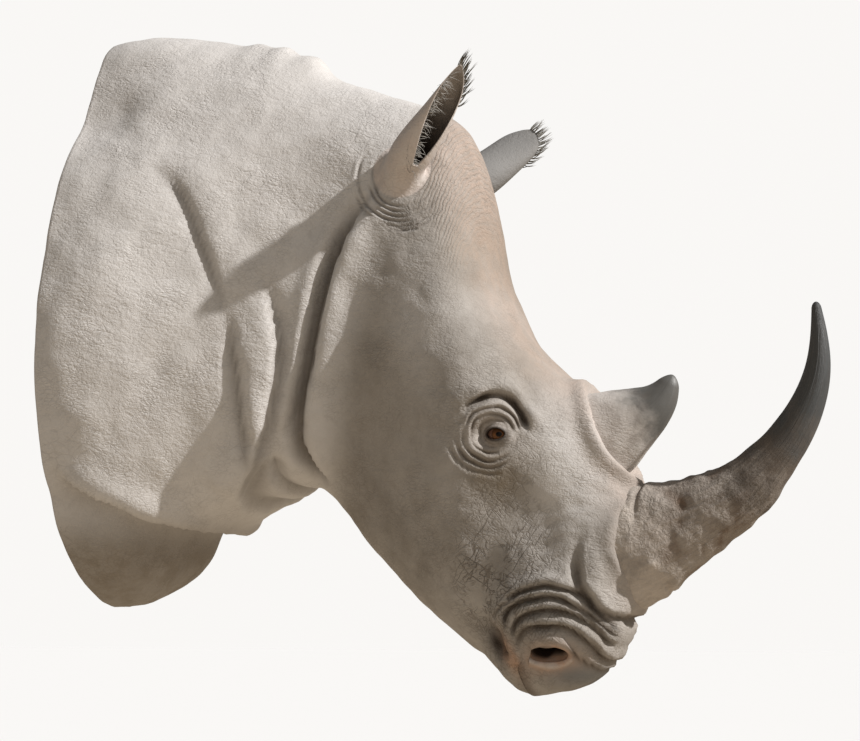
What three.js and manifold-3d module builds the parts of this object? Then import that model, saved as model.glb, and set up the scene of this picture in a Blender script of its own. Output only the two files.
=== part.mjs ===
// Wall-hung shoulder mount of a white rhinoceros: the front of the shoulders, the neck and the head,
// life size, in millimetres. The wall is the plane y = 0, the animal faces -Y, its left side is +X and
// Z is up. The origin is the middle of the backboard's back face.
import * as THREE from "three";
import * as BufferGeometryUtils from "three/addons/utils/BufferGeometryUtils.js";
import Module from "manifold-3d";

const wasm = await Module();
wasm.setup();

// ---- driving dimensions ----
const GAP = 0.3;                 // clearance between touching pieces
const ROWS = 72;                 // rings along the body
const SECTORS = 36;              // points round each ring
const BOARD = { thick: 18, inset: 13, proud: 3 };
const SCREW = { head: 6, deep: 4, sunk: 0.6, sides: 8, count: 6, inset: 45 };
const NECK_CUT = { top: [352, 640], bottom: [243, -460] };   // plane between shoulders and neck (f, z)
const HEAD_CUT = { top: [603, 520], bottom: [456, -420] };   // plane between neck and head
const EYE = { at: [127, 827, -218], radius: 23 };
const NOSTRIL = { at: [98, 904, -604], radii: [28, 32, 12], tilt: 0.1 };

// The body is a run of rings from the wall to the mouth. Each ring is a rounded section between a point
// on the back line (top) and one on the throat line (base), both given as forward distance f and
// height z. half: half width. low: where the widest place is, as a share of the ring's height from
// below. up and down: roundness of the part above and below it (2 is an ellipse, more is squarer).
// lag: how far the sides lie behind the middle.
const RINGS = [
  { name: "wall", top: [0, 590], base: [0, -519], half: 335, low: 0.42, up: 1.62, down: 2.1, lag: 0 },
  { name: "withers", top: [130, 588], base: [68, -503], half: 320, low: 0.42, up: 1.62, down: 2.2, lag: 0 },
  { name: "shoulder", top: [240, 568], base: [126, -453], half: 288, low: 0.4, up: 1.65, down: 2.6, lag: 0 },
  { name: "neck root", top: [350, 543], base: [226, -362], half: 244, low: 0.38, up: 1.75, down: 3, lag: 0 },
  { name: "mid neck", top: [450, 489], base: [328, -318], half: 206, low: 0.38, up: 1.9, down: 3, lag: 0 },
  { name: "nape", top: [545, 446], base: [412, -296], half: 182, low: 0.4, up: 2, down: 2.8, lag: 0 },
  { name: "throat", top: [640, 408], base: [465, -318], half: 170, low: 0.46, up: 2.1, down: 2.3, lag: 0 },
  { name: "crown", top: [715, 360], base: [520, -392], half: 164, low: 0.52, up: 2.2, down: 1.9, lag: 0 },
  { name: "poll", top: [745, 283], base: [575, -456], half: 166, low: 0.55, up: 2.4, down: 1.9, lag: 0 },
  { name: "forehead", top: [764, 188], base: [626, -507], half: 172, low: 0.58, up: 2.4, down: 1.9, lag: 0 },
  { name: "temple", top: [786, 80], base: [668, -543], half: 174, low: 0.62, up: 2.4, down: 1.9, lag: 0 },
  { name: "eye", top: [829, -14], base: [702, -569], half: 167, low: 0.64, up: 2.4, down: 1.9, lag: 10 },
  { name: "cheek", top: [890, -88], base: [726, -587], half: 151, low: 0.62, up: 2.4, down: 1.9, lag: 25 },
  { name: "face", top: [972, -162], base: [745, -600], half: 130, low: 0.58, up: 2.5, down: 1.9, lag: 45 },
  { name: "bridge", top: [1028, -310], base: [762, -615], half: 118, low: 0.52, up: 2.6, down: 2, lag: 70 },
  { name: "nose", top: [1040, -430], base: [778, -630], half: 120, low: 0.48, up: 2.8, down: 2.2, lag: 95 },
  { name: "tip", top: [1032, -530], base: [793, -642], half: 124, low: 0.44, up: 3, down: 2.4, lag: 112 },
  { name: "lip top", top: [1008, -596], base: [806, -653], half: 126, low: 0.42, up: 3, down: 2.6, lag: 122 },
  { name: "lip", top: [968, -640], base: [818, -662], half: 124, low: 0.42, up: 3, down: 2.8, lag: 122 },
  { name: "lip edge", top: [910, -668], base: [828, -670], half: 116, low: 0.45, up: 3, down: 3, lag: 106 },
  { name: "mouth", top: [858, -677], base: [852, -678], half: 92, low: 0.5, up: 3, down: 3, lag: 52 },
];
const LAG_POWER = 3.2;

// Skin folds, drawn on the side of the body as paths of (f, z) points. Left of the path's direction the
// skin stands up by lip, right of it it falls in by depth. wide and recess: how far each reaches.
// ends: the shares of the path over which it fades in and out. where: the part of the skin it lies on.
const FOLDS = [
  { name: "neck crease", path: [[165, 310], [235, 245], [275, 170], [305, 100], [325, 40], [340, -20]],
    depth: 9, lip: 8, wide: 40, recess: 26, soft: 16, ends: [0.3, 0.35], where: "side" },
  { name: "shoulder crease", path: [[338, 30], [347, -60], [352, -150], [353, -230], [338, -290]],
    depth: 15, lip: 8, wide: 22, recess: 24, soft: 14, ends: [0.3, 0.2], where: "side" },
  { name: "first neck fold", path: [[296, -325], [335, -285], [375, -228], [400, -170], [416, -115],
    [422, -40], [405, 45], [375, 110]],
    depth: 18, lip: 9, wide: 26, recess: 28, soft: 14, ends: [0.05, 0.35], where: "side" },
  { name: "second neck fold", path: [[405, -222], [435, -180], [456, -125], [474, -60], [486, 10],
    [505, 85], [545, 190]],
    depth: 13, lip: 7, wide: 20, recess: 22, soft: 14, ends: [0.15, 0.2], where: "side" },
  { name: "jowl", path: [[600, 245], [548, 165], [516, 84], [494, -7], [476, -92], [457, -164],
    [449, -210], [453, -256], [476, -296]],
    depth: 30, lip: 9, wide: 24, recess: 24, soft: 14, ends: [0.2, 0.06], where: "all" },
  { name: "rear throat lobe", path: [[258, -362], [313, -318], [362, -270], [395, -225]],
    depth: 16, lip: 10, wide: 26, recess: 20, soft: 14, ends: [0, 0.3], where: "under" },
  { name: "front throat lobe", path: [[382, -312], [382, -280], [396, -238]],
    depth: 14, lip: 9, wide: 26, recess: 20, soft: 14, ends: [0, 0.3], where: "under" },
  { name: "shoulder apron", path: [[10, -250], [50, -305], [110, -340], [160, -366], [200, -380],
    [236, -380]],
    depth: 30, lip: 13, wide: 28, recess: 60, soft: 14, ends: [0.35, 0.12], where: "all" },
];

// Broad swellings (height above 0) and hollows: centre (x, f, z), reach along each axis, height.
const LUMPS = [
  { name: "shoulder blade", at: [260, 90, 0], reach: [160, 150, 240], height: 12 },
  { name: "hollow below the withers", at: [190, 40, 405], reach: [110, 90, 80], height: -26 },
  { name: "withers edge", at: [85, 60, 560], reach: [55, 160, 55], height: 14 },
  { name: "neck crest", at: [150, 540, 330], reach: [90, 110, 80], height: 8 },
  { name: "back ripple", at: [0, 292, 566], reach: [70, 17, 40], height: 5 },
  { name: "back ripple", at: [0, 350, 553], reach: [70, 18, 40], height: 8 },
  { name: "back ripple", at: [0, 412, 522], reach: [70, 26, 40], height: 17 },
  { name: "cheek bone", at: [170, 700, -120], reach: [80, 110, 130], height: 10 },
  { name: "brow", at: [150, 820, -150], reach: [60, 80, 50], height: 9 },
  { name: "eye socket", at: [150, 824, -217], reach: [50, 34, 34], height: -9 },
  { name: "hollow before the cheek", at: [125, 900, -360], reach: [50, 70, 90], height: -8 },
];

// Horns: centre line (f, z), radius along it fore and aft, and how much narrower they are sideways.
const HORNS = {
  horn_front: {
    line: [[985, -418], [1060, -401], [1130, -374], [1207, -334], [1279, -272], [1337, -194], [1368, -106],
      [1366, 8]],
    radius: [108, 102, 77, 60, 45, 33, 22, 7], narrow: 0.82, rings: 15, sides: 14,
  },
  horn_rear: {
    line: [[925, -240], [983, -213], [1043, -182], [1087, -148], [1108, -110]],
    radius: [90, 82, 56, 32, 12], narrow: 0.72, rings: 8, sides: 12,
  },
};

// Ears: a funnel of skin cut off obliquely, open towards facing. Directions are (outward, f, z).
// radius: across the funnel from foot to tip. flat: how much thinner it is fore and aft, at foot and tip.
// low: height of the rim's lowest place as a share of the length. slant: how steeply the rim climbs.
const EAR = {
  length: 226, sunk: 30, wall: 7, low: 0.09, slant: 0.52, canal: 16, curl: 10, flat: [0.95, 0.26],
  twist: 0.8, rings: 9, sides: 16, radius: [35, 44, 48, 48, 47, 44, 33],
};
const EARS = {
  ear_left: { side: 1, root: [138, 640, 268], axis: [0.66, 0.46, 0.58], facing: [1, 0, -0.55] },
  ear_right: { side: -1, root: [138, 640, 268], axis: [0.27, 0.68, 0.68], facing: [-0.1, 1, -0.6] },
};

const COLOUR = {
  skin: 0xb3a79b, horn: 0x6b655c, eye: 0x2a1a10, plywood: 0xb58a58, steel: 0x8c8f92,
};

// ---- small mathematics ----
const clamp = (x, low, high) => Math.min(Math.max(x, low), high);
const bell = (x) => Math.exp(-x * x);
function ease(x, from, to) {
  const t = clamp((x - from) / (to - from), 0, 1);
  return t * t * (3 - 2 * t);
}

// Natural cubic spline through rows of numbers at rising knots: returns a function of the knot value.
function spline(knots, rows) {
  const n = knots.length, width = rows[0].length;
  const bend = rows.map(() => new Array(width).fill(0));
  for (let c = 0; c < width; c++) {
    const diagonal = new Array(n).fill(1), right = new Array(n).fill(0);
    for (let i = 1; i < n - 1; i++) {
      const before = knots[i] - knots[i - 1], after = knots[i + 1] - knots[i];
      const pull = i > 1 ? before / diagonal[i - 1] : 0;
      diagonal[i] = 2 * (before + after) - (i > 1 ? pull * before : 0);
      right[i] = 6 * ((rows[i + 1][c] - rows[i][c]) / after - (rows[i][c] - rows[i - 1][c]) / before)
        - (i > 1 ? pull * right[i - 1] : 0);
    }
    for (let i = n - 2; i > 0; i--) {
      bend[i][c] = (right[i] - (knots[i + 1] - knots[i]) * bend[i + 1][c]) / diagonal[i];
    }
  }
  return (at) => {
    let k = 0;
    while (k < n - 2 && at > knots[k + 1]) k++;
    const step = knots[k + 1] - knots[k], a = knots[k + 1] - at, b = at - knots[k];
    return rows[k].map((value, c) => (bend[k][c] * a ** 3 + bend[k + 1][c] * b ** 3) / (6 * step)
      + (value / step - bend[k][c] * step / 6) * a + (rows[k + 1][c] / step - bend[k + 1][c] * step / 6) * b);
  };
}

// Running length along a list of points.
function lengths(points) {
  const sum = [0];
  for (let i = 1; i < points.length; i++) {
    sum.push(sum[i - 1] + Math.hypot(...points[i].map((value, c) => value - points[i - 1][c])));
  }
  return sum;
}

// ---- the body's surface ----
const ringRows = RINGS.map((r) => [...r.top, ...r.base, r.half, r.low, r.up, r.down, r.lag]);
const ringKnots = [0];
for (let i = 1; i < RINGS.length; i++) {
  const back = Math.hypot(...RINGS[i].top.map((value, c) => value - RINGS[i - 1].top[c]));
  const throat = Math.hypot(...RINGS[i].base.map((value, c) => value - RINGS[i - 1].base[c]));
  ringKnots.push(ringKnots[i - 1] + (back + throat) / 2);
}
const BODY_LENGTH = ringKnots[ringKnots.length - 1];
const ringAt = spline(ringKnots, ringRows);

// The left half of one ring, top to bottom, as points [x, f, z] evenly spaced along it.
function halfRing(along, count) {
  const [topF, topZ, lowF, lowZ, half, low, up, down, lag] = ringAt(along);
  const height = Math.hypot(lowF - topF, lowZ - topZ);
  const fall = [(lowF - topF) / height, (lowZ - topZ) / height];
  const ahead = [-fall[1], fall[0]];
  const fine = [];
  for (let k = 0; k <= 360; k++) {
    const turn = Math.PI * k / 360, s = Math.sin(turn), c = Math.cos(turn);
    const power = c > 0 ? up : down, reach = (c > 0 ? 1 - low : low) * height;
    fine.push([half * Math.abs(s) ** (2 / power), -reach * Math.sign(c) * Math.abs(c) ** (2 / power)]);
  }
  const run = lengths(fine), total = run[run.length - 1];
  const points = [];
  let k = 0;
  for (let j = 0; j <= count; j++) {
    const want = total * j / count;
    while (k < run.length - 2 && run[k + 1] < want) k++;
    const t = clamp((want - run[k]) / (run[k + 1] - run[k]), 0, 1);
    const across = fine[k][0] * (1 - t) + fine[k + 1][0] * t;
    const drop = fine[k][1] * (1 - t) + fine[k + 1][1] * t + (1 - low) * height;
    const behind = lag * (across / half) ** LAG_POWER;
    const f = topF + drop * fall[0] - behind * ahead[0];
    points.push([across, f, topZ + drop * fall[1] - behind * ahead[1]]);
  }
  return points;
}

// Signed distance of (f, z) from a rounded path, and the share of the path passed there.
function roundedPath(path) {
  const knots = lengths(path), curve = spline(knots, path), fine = [];
  for (let i = 0; i <= 40; i++) fine.push(curve(knots[knots.length - 1] * i / 40));
  return fine;
}
function nearest(fine, f, z) {
  let best = Infinity, signed = 0, share = 0;
  for (let i = 0; i < fine.length - 1; i++) {
    const a = fine[i], d = [fine[i + 1][0] - a[0], fine[i + 1][1] - a[1]];
    const t = clamp(((f - a[0]) * d[0] + (z - a[1]) * d[1]) / (d[0] ** 2 + d[1] ** 2), 0, 1);
    const away = Math.hypot(f - a[0] - t * d[0], z - a[1] - t * d[1]);
    if (away < best) {
      best = away;
      signed = away * Math.sign(d[0] * (z - a[1]) - d[1] * (f - a[0]));
      share = (i + t) / (fine.length - 1);
    }
  }
  return [signed, share];
}
const foldPaths = FOLDS.map((fold) => roundedPath(fold.path));

// Height of the skin over the plain ring surface at a point with outward normal n.
function relief([x, f, z], n) {
  const on = {
    side: ease(Math.abs(n[0]), 0.05, 0.5), under: ease(-n[2], 0.1, 0.5), all: 1,
  };
  let height = 0;
  FOLDS.forEach((fold, i) => {
    const [s, share] = nearest(foldPaths[i], f, z);
    const [first, last] = fold.ends;
    const start = first ? ease(share, 0, first) : 1, end = last ? ease(1 - share, 0, last) : 1;
    const fade = start * end * on[fold.where];
    const raised = fold.lip * bell((s - 0.9 * fold.wide) / fold.wide) * ease(s, -fold.soft, fold.soft);
    const sunk = fold.depth * bell(s / fold.recess) * (1 - ease(s, -0.2 * fold.soft, fold.soft));
    height += fade * (raised - sunk);
  });
  for (const lump of LUMPS) {
    const far = [Math.abs(x), f, z].map((value, c) => (value - lump.at[c]) / lump.reach[c]);
    height += lump.height * Math.exp(-(far[0] ** 2 + far[1] ** 2 + far[2] ** 2));
  }
  return height;
}

// ---- solids ----
const world = ([x, f, z]) => [x, -f, z];

function solidFrom(points, faces) {
  const mesh = new wasm.Mesh({
    numProp: 3, vertProperties: new Float32Array(points.flat()), triVerts: new Uint32Array(faces.flat()),
  });
  return new wasm.Manifold(mesh);
}

function solidFromGeometry(geometry) {
  const plain = geometry.clone();
  plain.deleteAttribute("normal");
  plain.deleteAttribute("uv");
  const merged = BufferGeometryUtils.mergeVertices(plain, 1e-4);
  return new wasm.Manifold(new wasm.Mesh({
    numProp: 3, vertProperties: new Float32Array(merged.attributes.position.array),
    triVerts: new Uint32Array(merged.index.array),
  }));
}

function geometryFrom(solid) {
  const mesh = solid.getMesh();
  const geometry = new THREE.BufferGeometry();
  geometry.setAttribute("position", new THREE.BufferAttribute(new Float32Array(mesh.vertProperties), 3));
  geometry.setIndex(new THREE.BufferAttribute(new Uint32Array(mesh.triVerts), 1));
  geometry.computeVertexNormals();
  return geometry;
}

// Faces between rings of equal count, laid one after another, closed by a fan at each end.
function tubeFaces(rings, sides, flip = false) {
  const faces = [];
  const put = (a, b, c) => faces.push(flip ? [a, c, b] : [a, b, c]);
  for (let i = 0; i < rings - 1; i++) {
    for (let j = 0; j < sides; j++) {
      const next = (j + 1) % sides, a = i * sides + j, b = i * sides + next;
      put(a, b, b + sides);
      put(a, b + sides, a + sides);
    }
  }
  const first = rings * sides, last = first + 1, end = (rings - 1) * sides;
  for (let j = 0; j < sides; j++) {
    const next = (j + 1) % sides;
    put(first, next, j);
    put(last, end + j, end + next);
  }
  return faces;
}
const middle = (ring) => ring[0].map((_, c) => ring.reduce((sum, point) => sum + point[c], 0) / ring.length);

// The whole body, wall to mouth, grown outwards by grow.
function bodySolid(grow = 0) {
  const half = SECTORS / 2;
  const full = [];
  for (let i = 0; i < ROWS; i++) {
    const left = halfRing(BODY_LENGTH * i / (ROWS - 1), half);
    const right = left.slice(1, half).reverse().map(([x, f, z]) => [-x, f, z]);
    full.push([...left, ...right]);
  }
  const shaped = full.map((ring, i) => ring.map((point, j) => {
    const before = full[Math.max(i - 1, 0)][j], after = full[Math.min(i + 1, ROWS - 1)][j];
    const prior = ring[(j + SECTORS - 1) % SECTORS], next = ring[(j + 1) % SECTORS];
    const forward = new THREE.Vector3(...after).sub(new THREE.Vector3(...before));
    const round = new THREE.Vector3(...next).sub(new THREE.Vector3(...prior));
    const normal = round.cross(forward).normalize();
    const height = relief(point, [normal.x, normal.y, normal.z]) + grow;
    return [point[0] + height * normal.x, point[1] + height * normal.y, point[2] + height * normal.z];
  }));
  shaped[0] = shaped[0].map(([x, , z]) => [x, 0, z]);
  const points = shaped.flat().map(world);
  points.push(middle(shaped[0].map(world)));
  // the last ring is the closed mouth: its upper and lower halves are joined pair by pair
  const faces = tubeFaces(ROWS, SECTORS, true).filter((face) => !face.includes(ROWS * SECTORS + 1));
  const end = (ROWS - 1) * SECTORS;
  for (const side of [1, -1]) {
    const at = (j) => end + (j * side + SECTORS) % SECTORS;
    for (let j = 0; j < half / 2; j++) {
      const quad = [at(j), at(j + 1), at(half - j - 1), at(half - j)];
      const halves = [[quad[0], quad[1], quad[2]], [quad[0], quad[2], quad[3]]];
      for (const face of halves) {
        if (new Set(face).size === 3) faces.push(side < 0 ? face : [face[0], face[2], face[1]]);
      }
    }
  }
  return solidFrom(points, faces);
}

// A plate of GAP thickness through two points of the side view, wider than the body.
function partingPlate({ top, bottom }) {
  const high = Math.hypot(top[0] - bottom[0], top[1] - bottom[1]);
  const plate = new THREE.BoxGeometry(1000, GAP, high);
  plate.rotateX(Math.atan2(top[0] - bottom[0], top[1] - bottom[1]));
  plate.translate(0, -(top[0] + bottom[0]) / 2, (top[1] + bottom[1]) / 2);
  return solidFromGeometry(plate);
}

// A horn: rings across its centre line, from inside the head to the tip.
function hornSolid({ line, radius, narrow, rings, sides }) {
  const knots = lengths(line), total = knots[knots.length - 1];
  const centre = spline(knots, line), girth = spline(knots, radius.map((value) => [value]));
  const points = [];
  for (let i = 0; i < rings; i++) {
    const at = total * i / (rings - 1);
    const [f, z] = centre(at), [aheadF, aheadZ] = centre(Math.min(at + 1, total));
    const [behindF, behindZ] = centre(Math.max(at - 1, 0));
    const run = Math.hypot(aheadF - behindF, aheadZ - behindZ);
    const across = [-(aheadZ - behindZ) / run, (aheadF - behindF) / run];
    const r = girth(at)[0];
    for (let j = 0; j < sides; j++) {
      const turn = 2 * Math.PI * j / sides;
      const off = r * Math.cos(turn);
      points.push(world([narrow * r * Math.sin(turn), f + off * across[0], z + off * across[1]]));
    }
  }
  const tip = points.slice(-sides);
  points.push(middle(points.slice(0, sides)), middle(tip));
  return solidFrom(points, tubeFaces(rings, sides, true));
}

// An ear: outer wall from below the skin up to the slanting rim, then the inner wall down to the canal.
function earSolid({ side, root, axis, facing }) {
  const up = new THREE.Vector3(...axis).normalize();
  const front = new THREE.Vector3(...facing);
  front.addScaledVector(up, -front.dot(up)).normalize();
  const across = new THREE.Vector3().crossVectors(up, front);
  const width = spline(EAR.radius.map((_, i) => EAR.length * i / (EAR.radius.length - 1)),
    EAR.radius.map((value) => [value]));
  const ring = (share, inner) => {
    const points = [];
    for (let j = 0; j < EAR.sides; j++) {
      const turn = 2 * Math.PI * j / EAR.sides;
      const twisted = turn + EAR.twist * (1 + Math.cos(turn)) / 2;
      const rim = EAR.length * (EAR.low + (1 - EAR.low) * ((1 - Math.cos(twisted)) / 2) ** EAR.slant);
      const from = inner ? EAR.canal : -EAR.sunk;
      const height = from + (rim - from) * share;
      const part = clamp(height / EAR.length, 0, 1);
      const r = width(part * EAR.length)[0] - (inner ? EAR.wall * (1 - 0.5 * share) : 0);
      const flat = EAR.flat[0] + (EAR.flat[1] - EAR.flat[0]) * part;
      const point = new THREE.Vector3(...root).addScaledVector(up, height);
      point.addScaledVector(front, flat * r * Math.cos(turn) - EAR.curl * part ** 3);
      point.addScaledVector(across, r * Math.sin(turn));
      points.push(world([side * point.x, point.y, point.z]));
    }
    return points;
  };
  const rings = [];
  for (let i = 0; i < EAR.rings; i++) rings.push(ring(i / (EAR.rings - 1), false));
  for (let i = EAR.rings - 1; i >= 0; i--) rings.push(ring(i / (EAR.rings - 1), true));
  const points = rings.flat();
  points.push(middle(rings[0]), middle(rings[rings.length - 1]));
  return solidFrom(points, tubeFaces(rings.length, EAR.sides, side > 0));
}

// The wall ring drawn smaller by inset, as a flat outline of [x, z].
function boardOutline(inset) {
  const left = halfRing(0, SECTORS / 2);
  const ring = [...left, ...left.slice(1, -1).reverse().map(([x, f, z]) => [-x, f, z])];
  const shape = ring.map((point, j) => {
    const prior = ring[(j + ring.length - 1) % ring.length], next = ring[(j + 1) % ring.length];
    const run = [next[0] - prior[0], next[2] - prior[2]], size = Math.hypot(...run);
    const height = relief(point, [-run[1] / size, 0, run[0] / size]);
    return [point[0] + (height - inset) * -run[1] / size, point[2] + (height - inset) * run[0] / size];
  });
  return shape;
}
function boardPlate(inset, front, back) {
  const shape = new THREE.Shape(boardOutline(inset).map(([x, z]) => new THREE.Vector2(x, z)));
  const plate = new THREE.ExtrudeGeometry(shape, { depth: back - front, bevelEnabled: false });
  plate.rotateX(Math.PI / 2);
  plate.translate(0, back, 0);
  return solidFromGeometry(plate);
}

function ellipsoid([x, f, z], radii, turn, detail) {
  const ball = new THREE.SphereGeometry(1, detail, Math.round(detail * 0.6));
  ball.scale(...radii);
  ball.rotateX(turn);
  ball.translate(x, -f, z);
  return solidFromGeometry(ball);
}

// ---- assembly ----
const group = new THREE.Group();
function add(name, solid, colour, roughness, metalness = 0) {
  const material = new THREE.MeshStandardMaterial({ color: colour, roughness, metalness });
  const mesh = new THREE.Mesh(geometryFrom(solid), material);
  mesh.name = name;
  group.add(mesh);
}

const whole = bodySolid();
const clear = bodySolid(GAP);
const pieces = whole.subtract(partingPlate(NECK_CUT)).subtract(partingPlate(HEAD_CUT)).decompose();
pieces.sort((a, b) => b.boundingBox().max[1] - a.boundingBox().max[1]);
let [shoulders, neck, head] = pieces;

// the board lies in a pocket at the back of the shoulders and stands a little proud of the hide's edge
const board = boardPlate(BOARD.inset, -BOARD.thick, 0);
const edge = new THREE.BoxGeometry(1000, BOARD.proud * 2, 2000);
shoulders = shoulders.subtract(solidFromGeometry(edge))
  .subtract(boardPlate(BOARD.inset - GAP, -BOARD.thick - GAP, 1));

// screws round the board's edge, heads just under its back face
const screwPlaces = [];
const screwLine = boardOutline(SCREW.inset);
for (let i = 0; i < SCREW.count; i++) {
  screwPlaces.push(screwLine[Math.round((i + 0.5) * SECTORS / SCREW.count) % SECTORS]);
}
function screwPlug([x, z], radius, front, back) {
  const plug = new THREE.CylinderGeometry(radius, radius, back - front, SCREW.sides);
  plug.translate(x, (front + back) / 2, z);
  return solidFromGeometry(plug);
}
let drilled = board;
for (const place of screwPlaces) {
  drilled = drilled.subtract(screwPlug(place, SCREW.head + GAP, -SCREW.sunk - SCREW.deep - GAP, 1));
}

for (const side of [1, -1]) {
  const centre = [side * EYE.at[0], EYE.at[1], EYE.at[2]];
  const ball = new Array(3).fill(EYE.radius), socket = new Array(3).fill(EYE.radius + GAP);
  head = head.subtract(ellipsoid(centre, socket, 0, 14));
  add(side > 0 ? "eye_left" : "eye_right", ellipsoid(centre, ball, 0, 14), COLOUR.eye, 0.1);
  const [nx, nf, nz] = NOSTRIL.at;
  head = head.subtract(ellipsoid([side * nx, nf, nz], NOSTRIL.radii, NOSTRIL.tilt, 12));
}

for (const [name, ear] of Object.entries(EARS)) {
  add(name, earSolid(ear).subtract(clear), COLOUR.skin, 0.85);
}
for (const [name, horn] of Object.entries(HORNS)) {
  add(name, hornSolid(horn).subtract(clear), COLOUR.horn, 0.6);
}
add("shoulders", shoulders, COLOUR.skin, 0.85);
add("neck", neck, COLOUR.skin, 0.85);
add("head", head, COLOUR.skin, 0.85);
add("backboard", drilled, COLOUR.plywood, 0.7);
screwPlaces.forEach((place, i) => add(`board_screw_${i + 1}`,
  screwPlug(place, SCREW.head, -SCREW.sunk - SCREW.deep, -SCREW.sunk), COLOUR.steel, 0.35, 1));

export default group;
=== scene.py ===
"""Blender scene of a wall-hung shoulder mount of a white rhinoceros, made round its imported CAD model."""
import functools
import itertools
import math

import bpy
import numpy as np
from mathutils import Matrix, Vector


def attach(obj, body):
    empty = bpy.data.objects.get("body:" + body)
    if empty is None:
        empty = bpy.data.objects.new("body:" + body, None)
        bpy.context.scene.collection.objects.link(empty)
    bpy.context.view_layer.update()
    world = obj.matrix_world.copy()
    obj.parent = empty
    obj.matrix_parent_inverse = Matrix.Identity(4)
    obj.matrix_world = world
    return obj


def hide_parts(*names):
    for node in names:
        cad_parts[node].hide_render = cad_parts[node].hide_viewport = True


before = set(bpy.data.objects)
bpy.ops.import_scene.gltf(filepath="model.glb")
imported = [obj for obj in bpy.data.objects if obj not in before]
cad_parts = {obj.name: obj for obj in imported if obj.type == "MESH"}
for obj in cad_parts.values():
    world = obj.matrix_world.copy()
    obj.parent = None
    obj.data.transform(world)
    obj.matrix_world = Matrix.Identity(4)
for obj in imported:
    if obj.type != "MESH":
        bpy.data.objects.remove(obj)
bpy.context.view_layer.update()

bl_info = {
    "name": "Rhinoceros shoulder mount",
    "version": (1, 0, 0),
    "blender": (4, 5, 0),
    "location": "View3D > Sidebar > Rhinoceros",
    "description": "Makes the hide, eyes, horns, ear hair and board of a rhinoceros shoulder mount",
    "category": "Object",
}

MM = 0.001
SIDES = {"left": 1, "right": -1}

# ---- shape tables, in millimetres: x across, f forward of the wall, z up ----
# The body is a run of rings from the wall to the mouth. Each row is the point on the back line (f, z),
# the point on the throat line (f, z), the half width, the share of the height where it is widest, the
# roundness above and below that, and how far the sides lie behind the middle.
RINGS = np.array([
    (0, 590, 0, -519, 335, 0.42, 1.62, 2.1, 0),  # wall
    (130, 588, 68, -503, 320, 0.42, 1.62, 2.2, 0),  # withers
    (240, 568, 126, -453, 288, 0.4, 1.65, 2.6, 0),  # shoulder
    (350, 543, 226, -362, 244, 0.38, 1.75, 3.0, 0),  # neck root
    (450, 489, 328, -318, 206, 0.38, 1.9, 3.0, 0),  # mid neck
    (545, 446, 412, -296, 182, 0.4, 2.0, 2.8, 0),  # nape
    (640, 408, 465, -318, 170, 0.46, 2.1, 2.3, 0),  # throat
    (715, 360, 520, -392, 164, 0.52, 2.2, 1.9, 0),  # crown
    (745, 283, 575, -456, 166, 0.55, 2.4, 1.9, 0),  # poll
    (764, 188, 626, -507, 172, 0.58, 2.4, 1.9, 0),  # forehead
    (786, 80, 668, -543, 174, 0.62, 2.4, 1.9, 0),  # temple
    (829, -14, 702, -569, 167, 0.64, 2.4, 1.9, 10),  # eye
    (890, -88, 726, -587, 151, 0.62, 2.4, 1.9, 25),  # cheek
    (972, -162, 745, -600, 130, 0.58, 2.5, 1.9, 45),  # face
    (1028, -310, 762, -615, 118, 0.52, 2.6, 2.0, 70),  # bridge
    (1040, -430, 778, -630, 120, 0.48, 2.8, 2.2, 95),  # nose
    (1032, -530, 793, -642, 124, 0.44, 3.0, 2.4, 112),  # nose tip
    (1008, -596, 806, -653, 126, 0.42, 3.0, 2.6, 122),  # lip top
    (968, -640, 818, -662, 124, 0.42, 3.0, 2.8, 122),  # lip
    (910, -668, 828, -670, 116, 0.45, 3.0, 3.0, 108),  # lip edge
    (858, -677, 852, -678, 92, 0.5, 3.0, 3.0, 52),  # mouth
], float)
LAG_POWER = 3.2
# Size of the table that holds the plain body: rings, points worked out round half of each, points kept.
TABLE = dict(rows=700, turns=721, columns=420)
# Pieces of each path and each horn line that distances are measured to, and the search for a place seen
# from the side: its steps, the farthest it moves in one along and round, and the nudges for the slopes.
PATH_POINTS, HORN_POINTS = 41, 24
SEARCH = dict(steps=12, far=(25, 0.05), nudge=(1.0, 0.002))


def fold(path, depth, lip, wide, recess, soft, ends, where="all", dark=0.5):
    """One fold along a path of side view points: left of its direction the hide stands up by lip over
    wide, right of it it falls in by depth over recess. ends are the shares over which it fades in and
    out, dark is how much painted shade its bottom holds."""
    return np.array(path, float), (depth, lip, wide, recess, soft), ends, where, dark


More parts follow.
